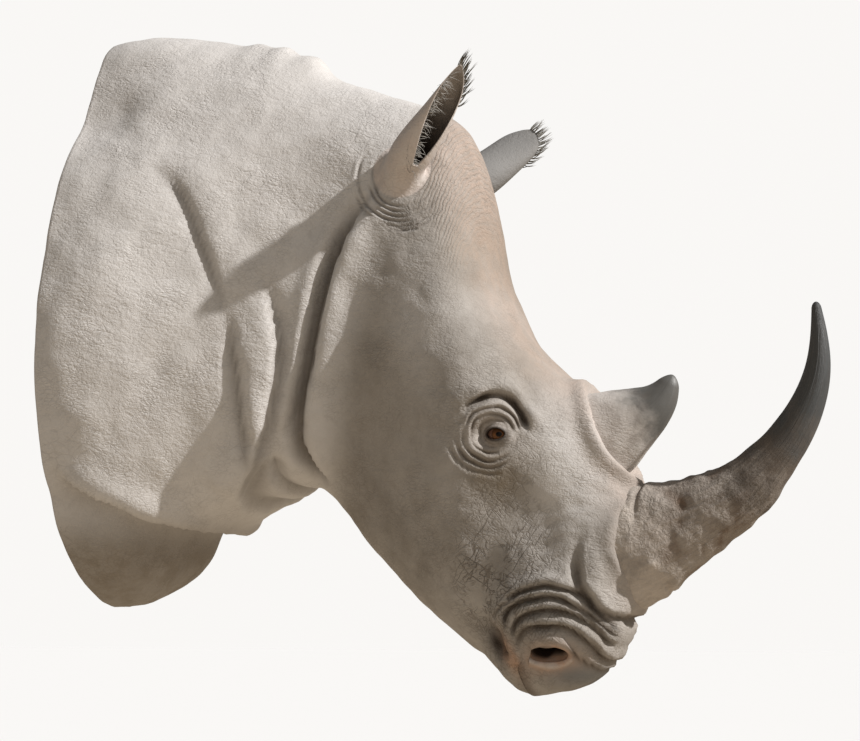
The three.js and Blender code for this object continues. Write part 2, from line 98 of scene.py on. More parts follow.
FOLDS = {
    "neck crease": fold([(165, 310), (235, 245), (275, 170), (305, 100), (325, 40), (340, -20)],
                        8, 9, 40, 13, 9, (0.3, 0.35), "side", 0.5),
    "shoulder crease": fold([(338, 30), (347, -60), (352, -150), (353, -230), (338, -290)],
                            11, 8, 22, 14, 8, (0.3, 0.2), "side"),
    "first neck fold": fold([(296, -325), (335, -285), (375, -228), (400, -170), (416, -115), (422, -40),
                             (405, 45), (375, 110)], 13, 10, 26, 16, 8, (0.05, 0.35), "side"),
    "second neck fold": fold([(405, -222), (435, -180), (456, -125), (474, -60), (486, 10), (505, 85),
                              (545, 190)], 10, 8, 18, 12, 7, (0.15, 0.2), "side"),
    "jowl": fold([(600, 245), (548, 165), (516, 84), (494, -7), (476, -92), (457, -164), (449, -210),
                  (453, -256), (476, -296)], 28, 9, 24, 18, 9, (0.2, 0.06), "all", 0.9),
    "rear throat lobe": fold([(258, -362), (313, -318), (362, -270), (395, -225)],
                             16, 10, 26, 16, 8, (0, 0.3), "under"),
    "front throat lobe": fold([(382, -312), (382, -280), (396, -238)], 14, 9, 26, 16, 8, (0, 0.3), "under"),
    "shoulder apron": fold([(10, -250), (50, -305), (110, -340), (160, -366), (200, -380), (236, -380)],
                           30, 13, 28, 60, 12, (0.35, 0.12), "all", 0.3),
    "upper muzzle fold": fold([(832, -508), (853, -497), (885, -485), (914, -482), (941, -488), (970, -496),
                               (987, -514), (1004, -538), (1024, -560)],
                              12, 5, 11, 7, 4, (0.1, 0.08), "all", 1),
    "second muzzle fold": fold([(829, -560), (830, -538), (840, -523), (862, -511), (888, -504), (914, -502),
                                (940, -507), (958, -517), (981, -532), (1002, -552), (1018, -576)],
                               12, 5, 10, 7, 4, (0.1, 0.08), "all", 1),
    "branch of the second fold": fold([(803, -543), (813, -530), (832, -514), (856, -504)], 4, 1.5, 8, 6, 4,
                                      (0.3, 0.3), "all", 0.7),
    "third muzzle fold": fold([(842, -582), (844, -565), (849, -550), (862, -538), (885, -529), (913, -525),
                               (942, -528), (962, -537), (984, -552), (999, -570), (1009, -592)],
                              12, 5, 10, 7, 4, (0.12, 0.08), "all", 1),
    "fourth muzzle fold": fold([(846, -598), (849, -580), (857, -567), (874, -556), (902, -553), (936, -555),
                                (959, -565), (977, -583), (989, -602), (998, -624)],
                               11, 5, 9.5, 7, 4, (0.15, 0.08), "all", 1),
    "nostril fold": fold([(943, -586), (951, -604), (964, -616), (978, -627), (990, -634)], 5, 2, 8, 6, 4,
                         (0.3, 0.1), "all", 0.9),
    "mouth corner": fold([(789, -538), (799, -556), (814, -582), (833, -612)], 9, 4, 9, 10, 6, (0.3, 0.2),
                         "side", 0.9),
    "nose pad edge": fold([(975, -385), (966, -415), (964, -450), (970, -485), (984, -512), (1005, -530),
                           (1030, -538), (1055, -535)], 16, 9, 24, 11, 7, (0.45, 0), "all", 0.8),
}

# Creases that are parts of ellipses in the side view: centre (f, z), radii, from and to angle in degrees
# from straight forward through up, depth, lip, wide, recess, soft, dark (painted shade in the bottom).
ARCS = [
    ((823, -216), (27, 25), (0, 360), 3.0, 1.2, 4.5, 3.5, 2.5, 0.8),  # round the lids
    ((821, -217), (36, 35), (-2, 300), 5.0, 2.0, 5, 4.5, 2.5, 1.0),  # second crease round the eye
    ((821, -215), (45, 44), (0, 165), 4.5, 1.8, 5, 4, 2.5, 1.0),    # third crease, above
    ((822, -218), (58, 70), (2, 150), 14, 7, 15, 9, 3.5, 1.0),      # brow
    ((817, -219), (46, 48), (165, 325), 3.5, 1.6, 5, 4, 2.5, 0.8),  # bags under the eye
    ((815, -220), (56, 58), (176, 312), 3.2, 1.6, 5, 4.5, 2.5, 0.7),
    ((813, -222), (66, 67), (185, 290), 2.6, 1.3, 6, 5, 3, 0.5),
]
# Creases behind the ear's foot, each a step further out and with ends of its own.
ARCS += [((648, 264), (62 + 9 * k, 66 + 9 * k), (150 + 38 * (k % 3), 322 - 14 * (k % 2)),
          3.4, 1.3, 5, 3.8, 2.5, 0.6) for k in range(6)]

# Swellings (height above 0) and hollows: centre (x, f, z), reach along each axis, height.
LUMPS = [
    ((260, 90, 0), (160, 150, 240), 12),       # shoulder blade
    ((190, 40, 405), (110, 90, 80), -26),      # hollow below the withers
    ((85, 60, 560), (55, 160, 55), 14),        # withers edge
    ((150, 540, 330), (90, 110, 80), 8),       # neck crest
    ((0, 292, 566), (70, 17, 40), 5),          # back ripples
    ((0, 350, 553), (70, 18, 40), 8),
    ((0, 412, 522), (70, 26, 40), 17),
    ((170, 690, -60), (80, 100, 120), 15),     # cheek bone
    ((120, 940, -300), (70, 60, 80), 2),       # side of the nose
    ((150, 820, -320), (70, 60, 50), -3),      # hollow under the eye
    ((150, 820, -150), (60, 80, 50), 9),       # brow
    ((150, 824, -217), (50, 34, 34), -9),      # eye socket
    ((125, 900, -360), (50, 70, 90), -8),      # hollow before the cheek
    ((150, 822, -217), (60, 50, 52), 7),       # bulge of the lids
    ((110, 801, -584), (90, 23, 32), -24),     # pocket of the mouth corner
]

# Unevenness of the hide: (size of the noise, height, seed), and how far the creases waver off their paths:
# (size of the noise, reach, seed).
SWELLS, WAVER = ((95, 3.0, 1), (43, 2.1, 2), (19, 0.9, 3)), ((24, 1.8, 31), (9, 0.8, 33))
FADE_ARC, FADE_LIPS = 25, 14  # degrees at each end of an arc, millimetres before the closed lips
HORN_HIDE = 800  # the horns' collars are worked out only forward of this

# Eyes, nostrils and ears: guess is a first guess of the place along and round the body, block is how far
# the body's grid is opened along and round it. The eye opens by wide, high and low, its lids lie lid over
# the ball with slack between them, and the cornea bulges over spread. rim holds the share to which each
# ring over the lids' rim is drawn in, and how far it is sunk.
EYE = dict(at=(127, 827, -218), guess=(1085, 0.34), block=(84, 84), radius=23, wide=18, high=11, low=10,
           lid=4.5, sight=(0.95, 0.28, -0.02), cornea=1.2, slack=0.3, behind=0.4, spread=0.42,
           rim=((0.95, 1.0), (0.90, 2.6), (0.90, 4.6)))
NOSTRIL = dict(at=(904, -604), guess=(1487, 0.335), block=(62, 56), radii=(34.5, 14), power=2.3, deep=52,
               inward=(-0.86, -0.12, 0.5), rings=14)
# Horns: centre line (f, z) and radius along it, width across as a share of that (narrow), how rough the
# surface is, the shares of the length over which that wears off (worn), and where the crust ends.
HORNS = {
    "horn_front": dict(
        line=[(985, -418), (1060, -401), (1130, -374), (1207, -334), (1279, -272), (1337, -194), (1368, -106),
              (1366, 8)], radius=[108, 102, 77, 60, 45, 33, 22, 7], narrow=0.82, rows=300, sides=168,
        rough=1, worn=(0.2, 0.72), crust=0.4),
    "horn_rear": dict(
        line=[(925, -240), (983, -213), (1043, -182), (1087, -148), (1108, -110)],
        radius=[90, 82, 56, 32, 12], narrow=0.72, rows=150, sides=132, rough=0.3, worn=(0.5, 1.2),
        crust=-1),
}
# Both ears: foot is the radius of the opening in the hide, low and slant shape the rim, canal is the height
# of the hollow's floor, flat the share of the radius fore and aft at the foot and at the tip, lift the
# least height of the wall over the foot, pull how hard the foot's curve sets off from the hide and the wall.
EAR = dict(guess=(650, 0.226), block=(104, 104), foot=54, length=226, wall=7, low=0.09, slant=0.52, canal=16,
           flat=(0.95, 0.26), twist=0.8, curl=10, lift=3, foot_top=34, pull=(36, 46),
           radius=(35, 44, 48, 48, 47, 44, 33))
# tint holds the share of some masks outside and inside the ear: slate and brown as painted shade on
# the left ear, dust and pink as painted light on the outside of the right ear.
EARS = {
    "left": dict(seed=7, unwrap=0.01, root=(138, 640, 268), axis=(0.66, 0.46, 0.58), facing=(1.0, 0.0, -0.55),
                 fringe=(40, 190), wisps=(-150, -50), tint={"cool": (0.72, 0.72), "brown": (0.35, 0.35)}),
    "right": dict(seed=8, unwrap=0.51, root=(138, 640, 268), axis=(0.27, 0.68, 0.68), facing=(-0.1, 1, -0.6),
                  fringe=(42, 190), wisps=(-150, -40), tint={"warm": (0.30, 0.15), "dusty": (1.0, 0.0)}),
}

# Rings of the hide: spacing along the body at a few places, and points round each.
SPACING = [(0, 8.8), (560, 8.8), (640, 6.2), (1120, 6.0), (1250, 4.1), (1560, 3.6)]
COLUMNS = 236
# The hollow back: how far its edge stands off the wall, how far in the pocket starts, and its floor.
POCKET = dict(edge=3.0, inset=12.7, deep=18.3)
# The hide's unwrap: where the back, the body and the ears start on it and how high they are, how wide an
# ear is, and the heights of its fringe and wisps. EARS holds where each ear starts.
UNWRAP = dict(back=(0.001, 0.017), body=(0.02, 0.84), ear=(0.875, 0.115), ear_width=0.48, fringe=0.93,
              wisps=0.96)
# Values that the hide carries at each point for its material, among them shares of painted shade and light.
MASKS = ("grime", "warm", "dark", "along", "turn", "rough", "cool", "ribbed", "dusty", "brown")

# The view and the light, in metres and radians. Each light has its
# name, the direction it comes from, its spread and its colour.
TARGET, AZIMUTH, ELEVATION = (0.0, -0.643, -0.084), math.radians(-68.0), math.radians(-6.0)
VIEW_WIDTH, SENSOR = 1.591, 36.0
FLOOR_REACH = 60.0
KEY = ("key", (0.028, -0.78, 0.63), 0.02, (1.0, 0.982, 0.962))
FILL = ("fill", (-0.7, -0.7, 0.2), 1.2, (1.0, 0.985, 0.97))
SKY_TONE, BOUNCE_TONE = (0.97, 0.96, 0.94), (1, 0.85, 0.66)


# ---- small mathematics ----
def ease(x, low, high):
    """Smooth step from 0 at low to 1 at high: 3 t squared less 2 t cubed."""
    t = np.clip((x - low) / (high - low), 0, 1)
    return t * t * (3 - 2 * t)


def bell(x):
    """Bell curve: e to the power of minus x squared."""
    return np.exp(-x * x)


def unit(v):
    """Each vector divided by its length."""
    return v / np.maximum(np.linalg.norm(v, axis=-1, keepdims=True), 1e-9)


def running_length(points):
    """Length along a list of points, from the first to each."""
    steps = np.linalg.norm(np.diff(points, axis=0), axis=1)
    return np.concatenate([[0], np.cumsum(steps)])


def spline(knots, rows, at):
    """Natural cubic spline: a cubic between each pair of knots with equal slope and bend where they meet
    and no bend at the ends. Gives one row for each value of at."""
    rows = np.asarray(rows, float)
    count, gap = len(knots), np.diff(knots)
    slope = np.diff(rows, axis=0) / gap[:, None]
    matrix, right = np.eye(count), np.zeros_like(rows)
    for i in range(1, count - 1):
        matrix[i, i - 1:i + 2] = gap[i - 1], 2 * (gap[i - 1] + gap[i]), gap[i]
        right[i] = 6 * (slope[i] - slope[i - 1])
    bend = np.linalg.solve(matrix, right)
    at = np.atleast_1d(at)
    k = np.clip(np.searchsorted(knots, at, side="right") - 1, 0, count - 2)
    a, b, h = (knots[k + 1] - at)[:, None], (at - knots[k])[:, None], gap[k][:, None]
    cubic = (bend[k] * a ** 3 + bend[k + 1] * b ** 3) / (6 * h)
    return cubic + (rows[k] / h - bend[k] * h / 6) * a + (rows[k + 1] / h - bend[k + 1] * h / 6) * b


def noise(p, seed):
    """Value noise from -1 to 1: a random value at each corner of unit cells, blended smoothly inside
    each cell with weights that are products of smooth steps."""
    cell = np.floor(p).astype(np.int64)
    share = p - cell
    share = share * share * (3 - 2 * share)
    total = np.zeros(p.shape[:-1])
    for corner in itertools.product((0, 1), repeat=3):
        key = ((cell + corner) * (73856093, 19349663, 83492791)).sum(-1) + seed * 97531
        key = ((key ^ (key >> 13)) * 1274126177) & 0x7FFFFFFF
        value = ((key ^ (key >> 15)) & 0xFFFF) / 0xFFFF
        total += value * np.prod(np.where(corner, share, 1 - share), axis=-1)
    return 2 * total - 1


# ---- the body's surface ----
@functools.lru_cache(maxsize=None)
def body_table():
    """The plain body as a table of points and outward normals, left half only: rows evenly along the
    body, columns evenly by arc length from the back line to the throat line. A ring point is across =
    half * sin(turn)^(2/power), down = reach * cos(turn)^(2/power), pushed back by lag times
    (across/half)^LAG_POWER."""
    back = np.linalg.norm(np.diff(RINGS[:, :2], axis=0), axis=1)
    throat = np.linalg.norm(np.diff(RINGS[:, 2:4], axis=0), axis=1)
    knots = np.concatenate([[0], np.cumsum((back + throat) / 2)])
    rows = spline(knots, RINGS, np.linspace(0, knots[-1], TABLE["rows"]))
    top, bottom = rows[:, :2], rows[:, 2:4]
    half, low, up, down, lag = (rows[:, c:c + 1] for c in range(4, 9))
    height = np.linalg.norm(bottom - top, axis=1)[:, None]
    fall = (bottom - top) / height
    ahead = np.stack([-fall[:, 1], fall[:, 0]], axis=1)
    turn = np.linspace(0, np.pi, TABLE["turns"])[None]
    sine, cosine = np.sin(turn), np.cos(turn)
    power = np.where(cosine > 0, up, down)
    reach = np.where(cosine > 0, 1 - low, low) * height
    across = half * np.abs(sine) ** (2 / power)
    drop = (1 - low) * height - reach * np.sign(cosine) * np.abs(cosine) ** (2 / power)
    steps = np.hypot(np.diff(across, axis=1), np.diff(drop, axis=1))
    run = np.concatenate([np.zeros((len(rows), 1)), np.cumsum(steps, axis=1)], axis=1)
    share = np.linspace(0, 1, TABLE["columns"])
    even = [(np.interp(share, r / r[-1], a), np.interp(share, r / r[-1], d))
            for r, a, d in zip(run, across, drop)]
    across, drop = (np.array([pair[c] for pair in even]) for c in (0, 1))
    behind = (across / half) ** LAG_POWER
    side = top[:, None] + drop[..., None] * fall[:, None] - (lag * behind)[..., None] * ahead[:, None]
    points = np.concatenate([across[..., None], side], axis=-1)
    normals = np.cross(np.gradient(points, axis=1), np.gradient(points, axis=0))
    normals[:, 0] = normals[:, 1] * (0, 1, 1)
    normals[:, -1] = normals[:, -2] * (0, 1, 1)
    if (normals[..., 0] * points[..., 0]).sum() < 0:
        normals = -normals
    return points, unit(normals), knots[-1]


def body(u, t):
    """Plain body point and normal at u millimetres along and turn t: 0 on the back line, 1 on the throat
    line, 2 on the back line again by way of the right side. Blends the four nearest table entries."""
    points, normals, total = body_table()
    t = np.mod(t, 2.0)
    right = t > 1
    a = np.clip(u / total, 0, 1) * (points.shape[0] - 1)
    b = np.clip(np.where(right, 2 - t, t), 0, 1) * (points.shape[1] - 1)
    i = np.minimum(a.astype(int), points.shape[0] - 2)
    j = np.minimum(b.astype(int), points.shape[1] - 2)
    a, b = (a - i)[..., None], (b - j)[..., None]
    mirror = np.where(right[..., None], (-1.0, 1.0, 1.0), (1.0, 1.0, 1.0))
    found = [((m[i, j] * (1 - a) + m[i + 1, j] * a) * (1 - b)
              + (m[i, j + 1] * (1 - a) + m[i + 1, j + 1] * a) * b) * mirror for m in (points, normals)]
    return found[0], unit(found[1])


def path_distance(path, f, z, reach):
    """Signed distance of side view points from the rounded path, left of its direction above 0, and the
    share of the path passed at the nearest place. Points farther than reach get the distance reach."""
    knots = running_length(path)
    fine = spline(knots, path, np.linspace(0, knots[-1], PATH_POINTS))
    signed, share = np.full(f.shape, float(reach)), np.zeros(f.shape)
    low, high = fine.min(0) - reach, fine.max(0) + reach
    near = (f > low[0]) & (f < high[0]) & (z > low[1]) & (z < high[1])
    f, z = f[near], z[near]
    best, side, passed = np.full(f.shape, np.inf), np.zeros(f.shape), np.zeros(f.shape)
    for i, (a, step) in enumerate(zip(fine[:-1], np.diff(fine, axis=0))):
        along = np.clip(((f - a[0]) * step[0] + (z - a[1]) * step[1]) / (step @ step), 0, 1)
        away = np.hypot(f - a[0] - along * step[0], z - a[1] - along * step[1])
        closer = away < best
        turn = np.sign(step[0] * (z - a[1]) - step[1] * (f - a[0]))
        side = np.where(closer, turn, side)
        passed = np.where(closer, (i + along) / (len(fine) - 1), passed)
        best = np.minimum(best, away)
    signed[near], share[near] = best * side, passed
    return signed, share


def fold_profile(s, depth, lip, wide, recess, soft):
    """Height and painted shade across a fold at signed distance s: a bell of height lip on one side, a
    bell of depth on the other, each cut off by a smooth step at the crease."""
    raised = lip * bell((s - 0.9 * wide) / wide) * ease(s, -soft, soft)
    sunk = bell(s / recess) * (1 - ease(s, -0.2 * soft, soft))
    return raised - depth * sunk, sunk


def arc_profile(f, z, centre, radii, arc, depth, lip, wide, recess, soft, dark):
    """A fold along part of an ellipse: s is the distance outside it along the ray from its centre, and it
    fades out over the last FADE_ARC degrees at each end of the arc."""
    df, dz = f - centre[0], z - centre[1]
    far = np.hypot(df / radii[0], dz / radii[1]) + 1e-6
    s = np.hypot(df, dz) * (1 - 1 / far)
    turn = np.degrees(np.arctan2(dz / radii[1], df / radii[0]))
    middle, half = sum(arc) / 2, (arc[1] - arc[0]) / 2
    off = np.abs((turn - middle + 180) % 360 - 180)
    fade = 1.0 if half >= 180 else 1 - ease(off, half - FADE_ARC, half)
    height, sunk = fold_profile(s, depth, lip, wide, recess, soft)
    return height * fade, sunk * fade * dark


def horn_gap(p, name):
    """Distance of points from a horn's surface, below 0 inside it, and the way round the horn: the least
    over places on its lower centre line of the distance, drawn out across, less the radius there."""
    shape = HORNS[name]
    line, radius = np.array(shape["line"], float), np.array(shape["radius"], float)[:, None]
    knots = running_length(line)
    at = np.linspace(0, 0.5 * knots[-1], HORN_POINTS)
    across = np.abs(p[..., 0]) / shape["narrow"]
    gap = np.full(across.shape, np.inf)
    for centre, r in zip(spline(knots, line, at), spline(knots, radius, at)[:, 0]):
        away = np.sqrt(across ** 2 + (p[..., 1] - centre[0]) ** 2 + (p[..., 2] - centre[1]) ** 2)
        gap = np.minimum(gap, away - r)
    ahead = unit(line[1] - line[0])
    side = (p[..., 1] - line[0, 0]) * -ahead[1] + (p[..., 2] - line[0, 1]) * ahead[0]
    return gap, np.arctan2(p[..., 0], side)


def collars(p):
    """Height of the hide round the horns: a rolled rim and a groove round the rear horn, and a swelling
    of fibres that runs up the front horn."""
    gap, _ = horn_gap(p, "horn_rear")
    height = 15 * bell((gap - 15) / 12) - 5 * bell(gap / 6)
    gap, round_it = horn_gap(p, "horn_front")
    height += 17 * np.exp(-np.maximum(gap + 10, 0) / 15)
    near = (1 - ease(gap, 30, 90)) * ease(gap, 0, 30)
    grain = np.stack([9 * np.cos(round_it), 9 * np.sin(round_it), gap / 55], axis=-1)
    return height + near * (2.0 * noise(grain, 21) + 0.8 * noise(2 * grain, 22))


def relief(p, n):
    """Height of the hide over the plain body at points p with normals n, and the shade painted in its
    creases: the sum of the folds, the arcs, the swellings, the horns' collars and three sizes of noise."""
    x, f, z = np.abs(p[..., 0]), p[..., 1], p[..., 2]
    on = {"side": ease(np.abs(n[..., 0]), 0.05, 0.5), "under": ease(-n[..., 2], 0.1, 0.5), "all": 1.0}
    height, grime = np.zeros(f.shape), np.zeros(f.shape)
    # the creases waver a little off their paths
    wavy = [v + sum(reach * noise(p / size, seed + k) for size, reach, seed in WAVER)
            for k, v in enumerate((f, z))]
    for path, shape, (first, last), where, dark in FOLDS.values():
        s, share = path_distance(path, *wavy, 4 * max(shape[2:4]))
        fade = on[where] * (ease(share, 0, first) if first else 1)
        fade = fade * (ease(1 - share, 0, last) if last else 1)
        up, sunk = fold_profile(s, *shape)
        height += fade * up
        grime = np.maximum(grime, fade * sunk * dark)
    uneven = np.clip(0.85 + 0.75 * noise(p / 26, 35), 0.2, 1.3)
    for arc in ARCS:
        up, sunk = arc_profile(*wavy, *arc)
        height += up * uneven
        grime = np.maximum(grime, sunk * uneven)
    for at, reach, tall in LUMPS:
        height += tall * np.exp(-sum(((v - c) / r) ** 2 for v, c, r in zip((x, f, z), at, reach)))
    front = f > HORN_HIDE
    height[front] += collars(p[front])
    # two of the noises are turned about the height, so that their cells don't line up with the third's
    turned = np.stack([p[..., 0] * 0.8 + f * 0.6, f * 0.8 - p[..., 0] * 0.6, z], axis=-1)
    for place, (size, tall, seed) in zip((turned, p, turned), SWELLS):
        height += tall * noise(place / size, seed)
    return height, np.clip(grime, 0, 1)


# ---- the hide as one mesh ----
def ring_places():
    """Places of the hide's rings along the body, stepped by the spacing table."""
    places, total = [0.0], body_table()[2]
    where, gap = zip(*SPACING)
    while places[-1] < total:
        places.append(places[-1] + float(np.interp(places[-1], where, gap)))
    return np.array(places) * total / places[-1]


class Shell:
    """Collects the points, faces and corner values of one closed piece while its parts are made."""

    def __init__(self):
        self.points, self.masks = [], []
        self.faces, self.corners = [], []
        self.count = 0

    def add(self, points, **masks):
        """Adds points of shape (rings, sides, 3) with a value of each mask, and gives their numbers."""
        shape = points.shape[:-1]
        size = int(np.prod(shape))
        self.points.append(points.reshape(-1, 3))
        filled = [np.broadcast_to(masks.get(key, 0.0), shape).reshape(-1) for key in MASKS]
        self.masks.append(np.stack(filled, axis=1))
        self.count += size
        return (np.arange(size) + self.count - size).reshape(shape)

    def quads(self, numbers, uv, keep=None):
        """Faces between neighbouring rings of numbers, closed round each ring. uv has one column more
        than numbers, because the last column meets the first again."""
        closed = wrap(numbers)
        faces, corners = (np.stack([v[:-1, :-1], v[1:, :-1], v[1:, 1:], v[:-1, 1:]], axis=2)
                          for v in (closed, uv))
        if keep is not None:
            faces, corners = faces[keep], corners[keep]
        self.faces.append(faces.reshape(-1, 4))
        self.corners.append(corners.reshape(-1, 4, 2))

    def fan(self, numbers, uv, centre, centre_uv, forward=False, **masks):
        """Closes a ring with triangles to one middle point, as four-cornered faces whose last corner is
        given as -1. forward says which way round they go."""
        pole = self.add(centre.reshape(1, 1, 3), **masks)[0, 0]
        closed, middle = np.append(numbers, numbers[0]), np.broadcast_to(centre_uv, uv[1:].shape)
        first, second = (slice(0, -1), slice(1, None))[::1 if forward else -1]
        sides = np.full(len(numbers), pole), np.full(len(numbers), -1)
        self.faces.append(np.stack([closed[first], closed[second], *sides], axis=-1))
        self.corners.append(np.stack([uv[first], uv[second], middle, middle], axis=-2))

    def arrays(self):
        """All points, faces and corner values."""
        return np.concatenate(self.points), np.concatenate(self.faces), np.concatenate(self.corners)


def wrap(rings):
    """Repeats the first column of closed rings at their end."""
    return np.concatenate([rings, rings[:, :1]], axis=1)


def skin(u, t):
    """Hide points, painted crease shade and normals at u along and turn t. The relief fades out at the
    closed lips, whose line gets painted shade."""
    p, n = body(u, t)
    height, grime = relief(p, n)
    left = body_table()[2] - u
    height = height * ease(left, 0, FADE_LIPS)
    grime = np.maximum(grime, 0.7 * bell(left / 5))
    return p + n * height[..., None], grime, n


def find_place(f, z, u, t, side):
    """(u, t) of the body point seen at (f, z) from the side, by Newton steps from a first guess."""
    u, t = np.full(np.shape(f), float(u)), np.full(np.shape(f), float(t))
    (far_u, far_t), (nudge_u, nudge_t) = SEARCH["far"], SEARCH["nudge"]
    for _ in range(SEARCH["steps"]):
        p = body(u, t)[0]
        pu, pt = (body(u + nudge_u, t)[0] - p) / nudge_u, (body(u, t + nudge_t)[0] - p) / nudge_t
        miss_f, miss_z = f - p[..., 1], z - p[..., 2]
        det = pu[..., 1] * pt[..., 2] - pu[..., 2] * pt[..., 1]
        det = np.where(np.abs(det) < 1e-6, 1e-6, det)
        u = u + np.clip((miss_f * pt[..., 2] - miss_z * pt[..., 1]) / det, -far_u, far_u)
        t = t + np.clip((pu[..., 1] * miss_z - pu[..., 2] * miss_f) / det, -far_t, far_t)
        u = np.clip(u, 1, body_table()[2] - 1)
        t = np.clip(t, 0.01, 0.99) if side > 0 else np.clip(t, 1.01, 1.99)
    return u, t


def opening(places, u, t, half_u, half_t):
    """Border of the block of grid cells within half_u and half_t millimetres of (u, t): row and column of
    each border point in turn, and the block's limits."""
    step_u, step_t = (2 * nudge for nudge in SEARCH["nudge"])
    p, ahead, aside = (body(np.array(a), np.array(b))[0]
                       for a, b in ((u, t), (u + step_u, t), (u, t + step_t)))
    size_u, size_t = np.linalg.norm(ahead - p) / step_u, np.linalg.norm(aside - p) / step_t
    i0, i1 = np.searchsorted(places, [u - half_u / size_u, u + half_u / size_u])
    j0, j1 = (int(round((t + s * half_t / size_t) * COLUMNS / 2)) for s in (-1, 1))
    i1 = min(i1, len(places) - 3)
    rows = [np.full(j1 - j0, i0), np.arange(i0, i1), np.full(j1 - j0, i1), np.arange(i1, i0, -1)]
    columns = [np.arange(j0, j1), np.full(i1 - i0, j1), np.arange(j1, j0, -1), np.full(i1 - i0, j0)]
    return np.concatenate(rows), np.concatenate(columns), (i0, i1, j0, j1)


def hide_masks(p, u, t):
    """Where the hide is pinker, rougher and so on, and where light and shade are painted on it, from a
    few bells and steps over the body. u and t are the place along and round it."""
    x, f, z = np.abs(p[..., 0]), p[..., 1], p[..., 2]
    v = np.where(np.mod(t, 2) > 1, 2 - np.mod(t, 2), np.mod(t, 2))

    def spot(at_f, at_z, wide, tall):
        """Bell over the side view, 1 at its middle."""
        return bell((f - at_f) / wide) * bell((z - at_z) / tall)

    muzzle, lip = ease(u, 1300, 1400), ease(u, 1370, 1420)
    nostril = spot(912, -606, 46, 26) * muzzle
    ridge = (1 - ease(v, 0.05, 0.24)) * ease(u, 600, 700) * (1 - ease(u, 1330, 1400))
    mouth = bell((f + 0.42 * (z + 600) - 829) / 15) * bell((z + 604) / 36) * ease(x, 20, 60)
    warm = 0.28 * ridge + 0.75 * nostril + 0.8 * spot(905, -622, 40, 16) * muzzle + 1.3 * mouth
    warm = warm + 0.15 * spot(824, -217, 34, 34)
    rough = 0.12 + spot(815, -470, 75, 75) + 0.3 * ease(u, 1000, 1150) * ease(v, 0.2, 0.4) + 0.15 * lip
    cool = spot(945, -640, 55, 20) * muzzle + 0.5 * spot(838, -228, 16, 16)
    # dust, and painted light: the shoulders and neck paler, less so underneath, and painted highlights on the
    # temple and the side of the nose
    dusty = (1 - ease(u, 570, 690)) * (0.15 + 0.85 * ease(z, -420, -330))
    dusty = dusty + 0.8 * spot(690, 5, 55, 120) + 1.1 * spot(945, -275, 68, 120)
    # painted shade in brown: under the shoulders, on the cheek and lips, below the eye, on the forehead and
    # the brow
    brown = 0.7 * (1 - ease(z, -440, -340)) * (1 - ease(u, 400, 500))
    brown = brown + 0.12 * ease(u, 610, 680) * (1 - ease(f, 590, 700)) + 0.15 * lip
    brown = brown + spot(826, -296, 50, 46) + 0.08 * spot(640, -170, 90, 200)
    brown = brown + 0.5 * spot(760, 115, 66, 90) + 0.3 * spot(860, -95, 60, 80)
    ribbed = (1 - ease(v, 0.16, 0.30)) * ease(u, 640, 700) * (1 - ease(u, 800, 950))
    # painted shade in the pocket of the mouth's corner
    dark = 0.97 * bell((f + 0.42 * (z + 583) - 801) / 21) * bell((z + 583) / 29) * ease(x, 30, 70)
    masks = dict(warm=warm, rough=rough * (1 - 0.95 * nostril), dark=dark, cool=cool, ribbed=ribbed,
                 dusty=dusty, brown=brown)
    return dict({key: np.clip(value, 0, 1) for key, value in masks.items()}, along=u * MM, turn=t)


def grid_uv(places, u, t):
    """Place of (u, t) on the hide's unwrap: turn across, share of the rings along it."""
    row = np.interp(u, places, np.linspace(0, 1, len(places)))
    start, tall = UNWRAP["body"]
    return np.stack([t / 2, start + tall * row], axis=-1)


class Block:
    """A block of the body's grid, opened round a place in the side view. Rings of hide fill it from its
    border in to an edge, and a hollow goes on from there."""

    def __init__(self, places, grid, side, at, shape):
        self.places, self.side = places, side
        guess_u, guess_t = shape["guess"]
        found = find_place(*at, guess_u, guess_t if side > 0 else 2 - guess_t, side)
        self.start = [float(v) for v in found]
        rows, columns, self.limits = opening(places, *self.start, *shape["block"])
        self.border = places[rows], columns * 2 / COLUMNS
        self.numbers = grid[rows, columns % COLUMNS][None]
        p = body(*self.border)[0]
        self.angle = np.arctan2(p[:, 2] - at[1], p[:, 1] - at[0])

    def rings(self, f, z, count):
        """(u, t) of count rings mixed evenly from the border in to the edge that is seen at (f, z)."""
        self.edge = find_place(f, z, *self.start, self.side)
        share = np.linspace(0, 1, count + 1)[:, None]
        u, t = (outer + (inner - outer) * share for outer, inner in zip(self.border, self.edge))
        self.uv = grid_uv(self.places, u, t)
        return u[1:], t[1:]

    def hollow(self, hide, numbers, steps, pole, **masks):
        """Goes on from the last ring of numbers over the rings in steps, and closes them at the pole."""
        inner = hide.add(steps, along=self.start[0] * MM, turn=self.start[1], **masks)
        numbers = np.concatenate([self.numbers, numbers, inner])
        middle = grid_uv(self.places, *(v.mean() for v in self.edge))
        share = np.linspace(0, 0.9, len(steps) + 1)[1:, None, None]
        uv = wrap(np.concatenate([self.uv, self.uv[-1] * (1 - share) + middle * share]))
        hide.quads(numbers, uv)
        # the closed end of the hollow gets painted shade
        hide.fan(numbers[-1], uv[-1], pole, middle, dark=1.0)


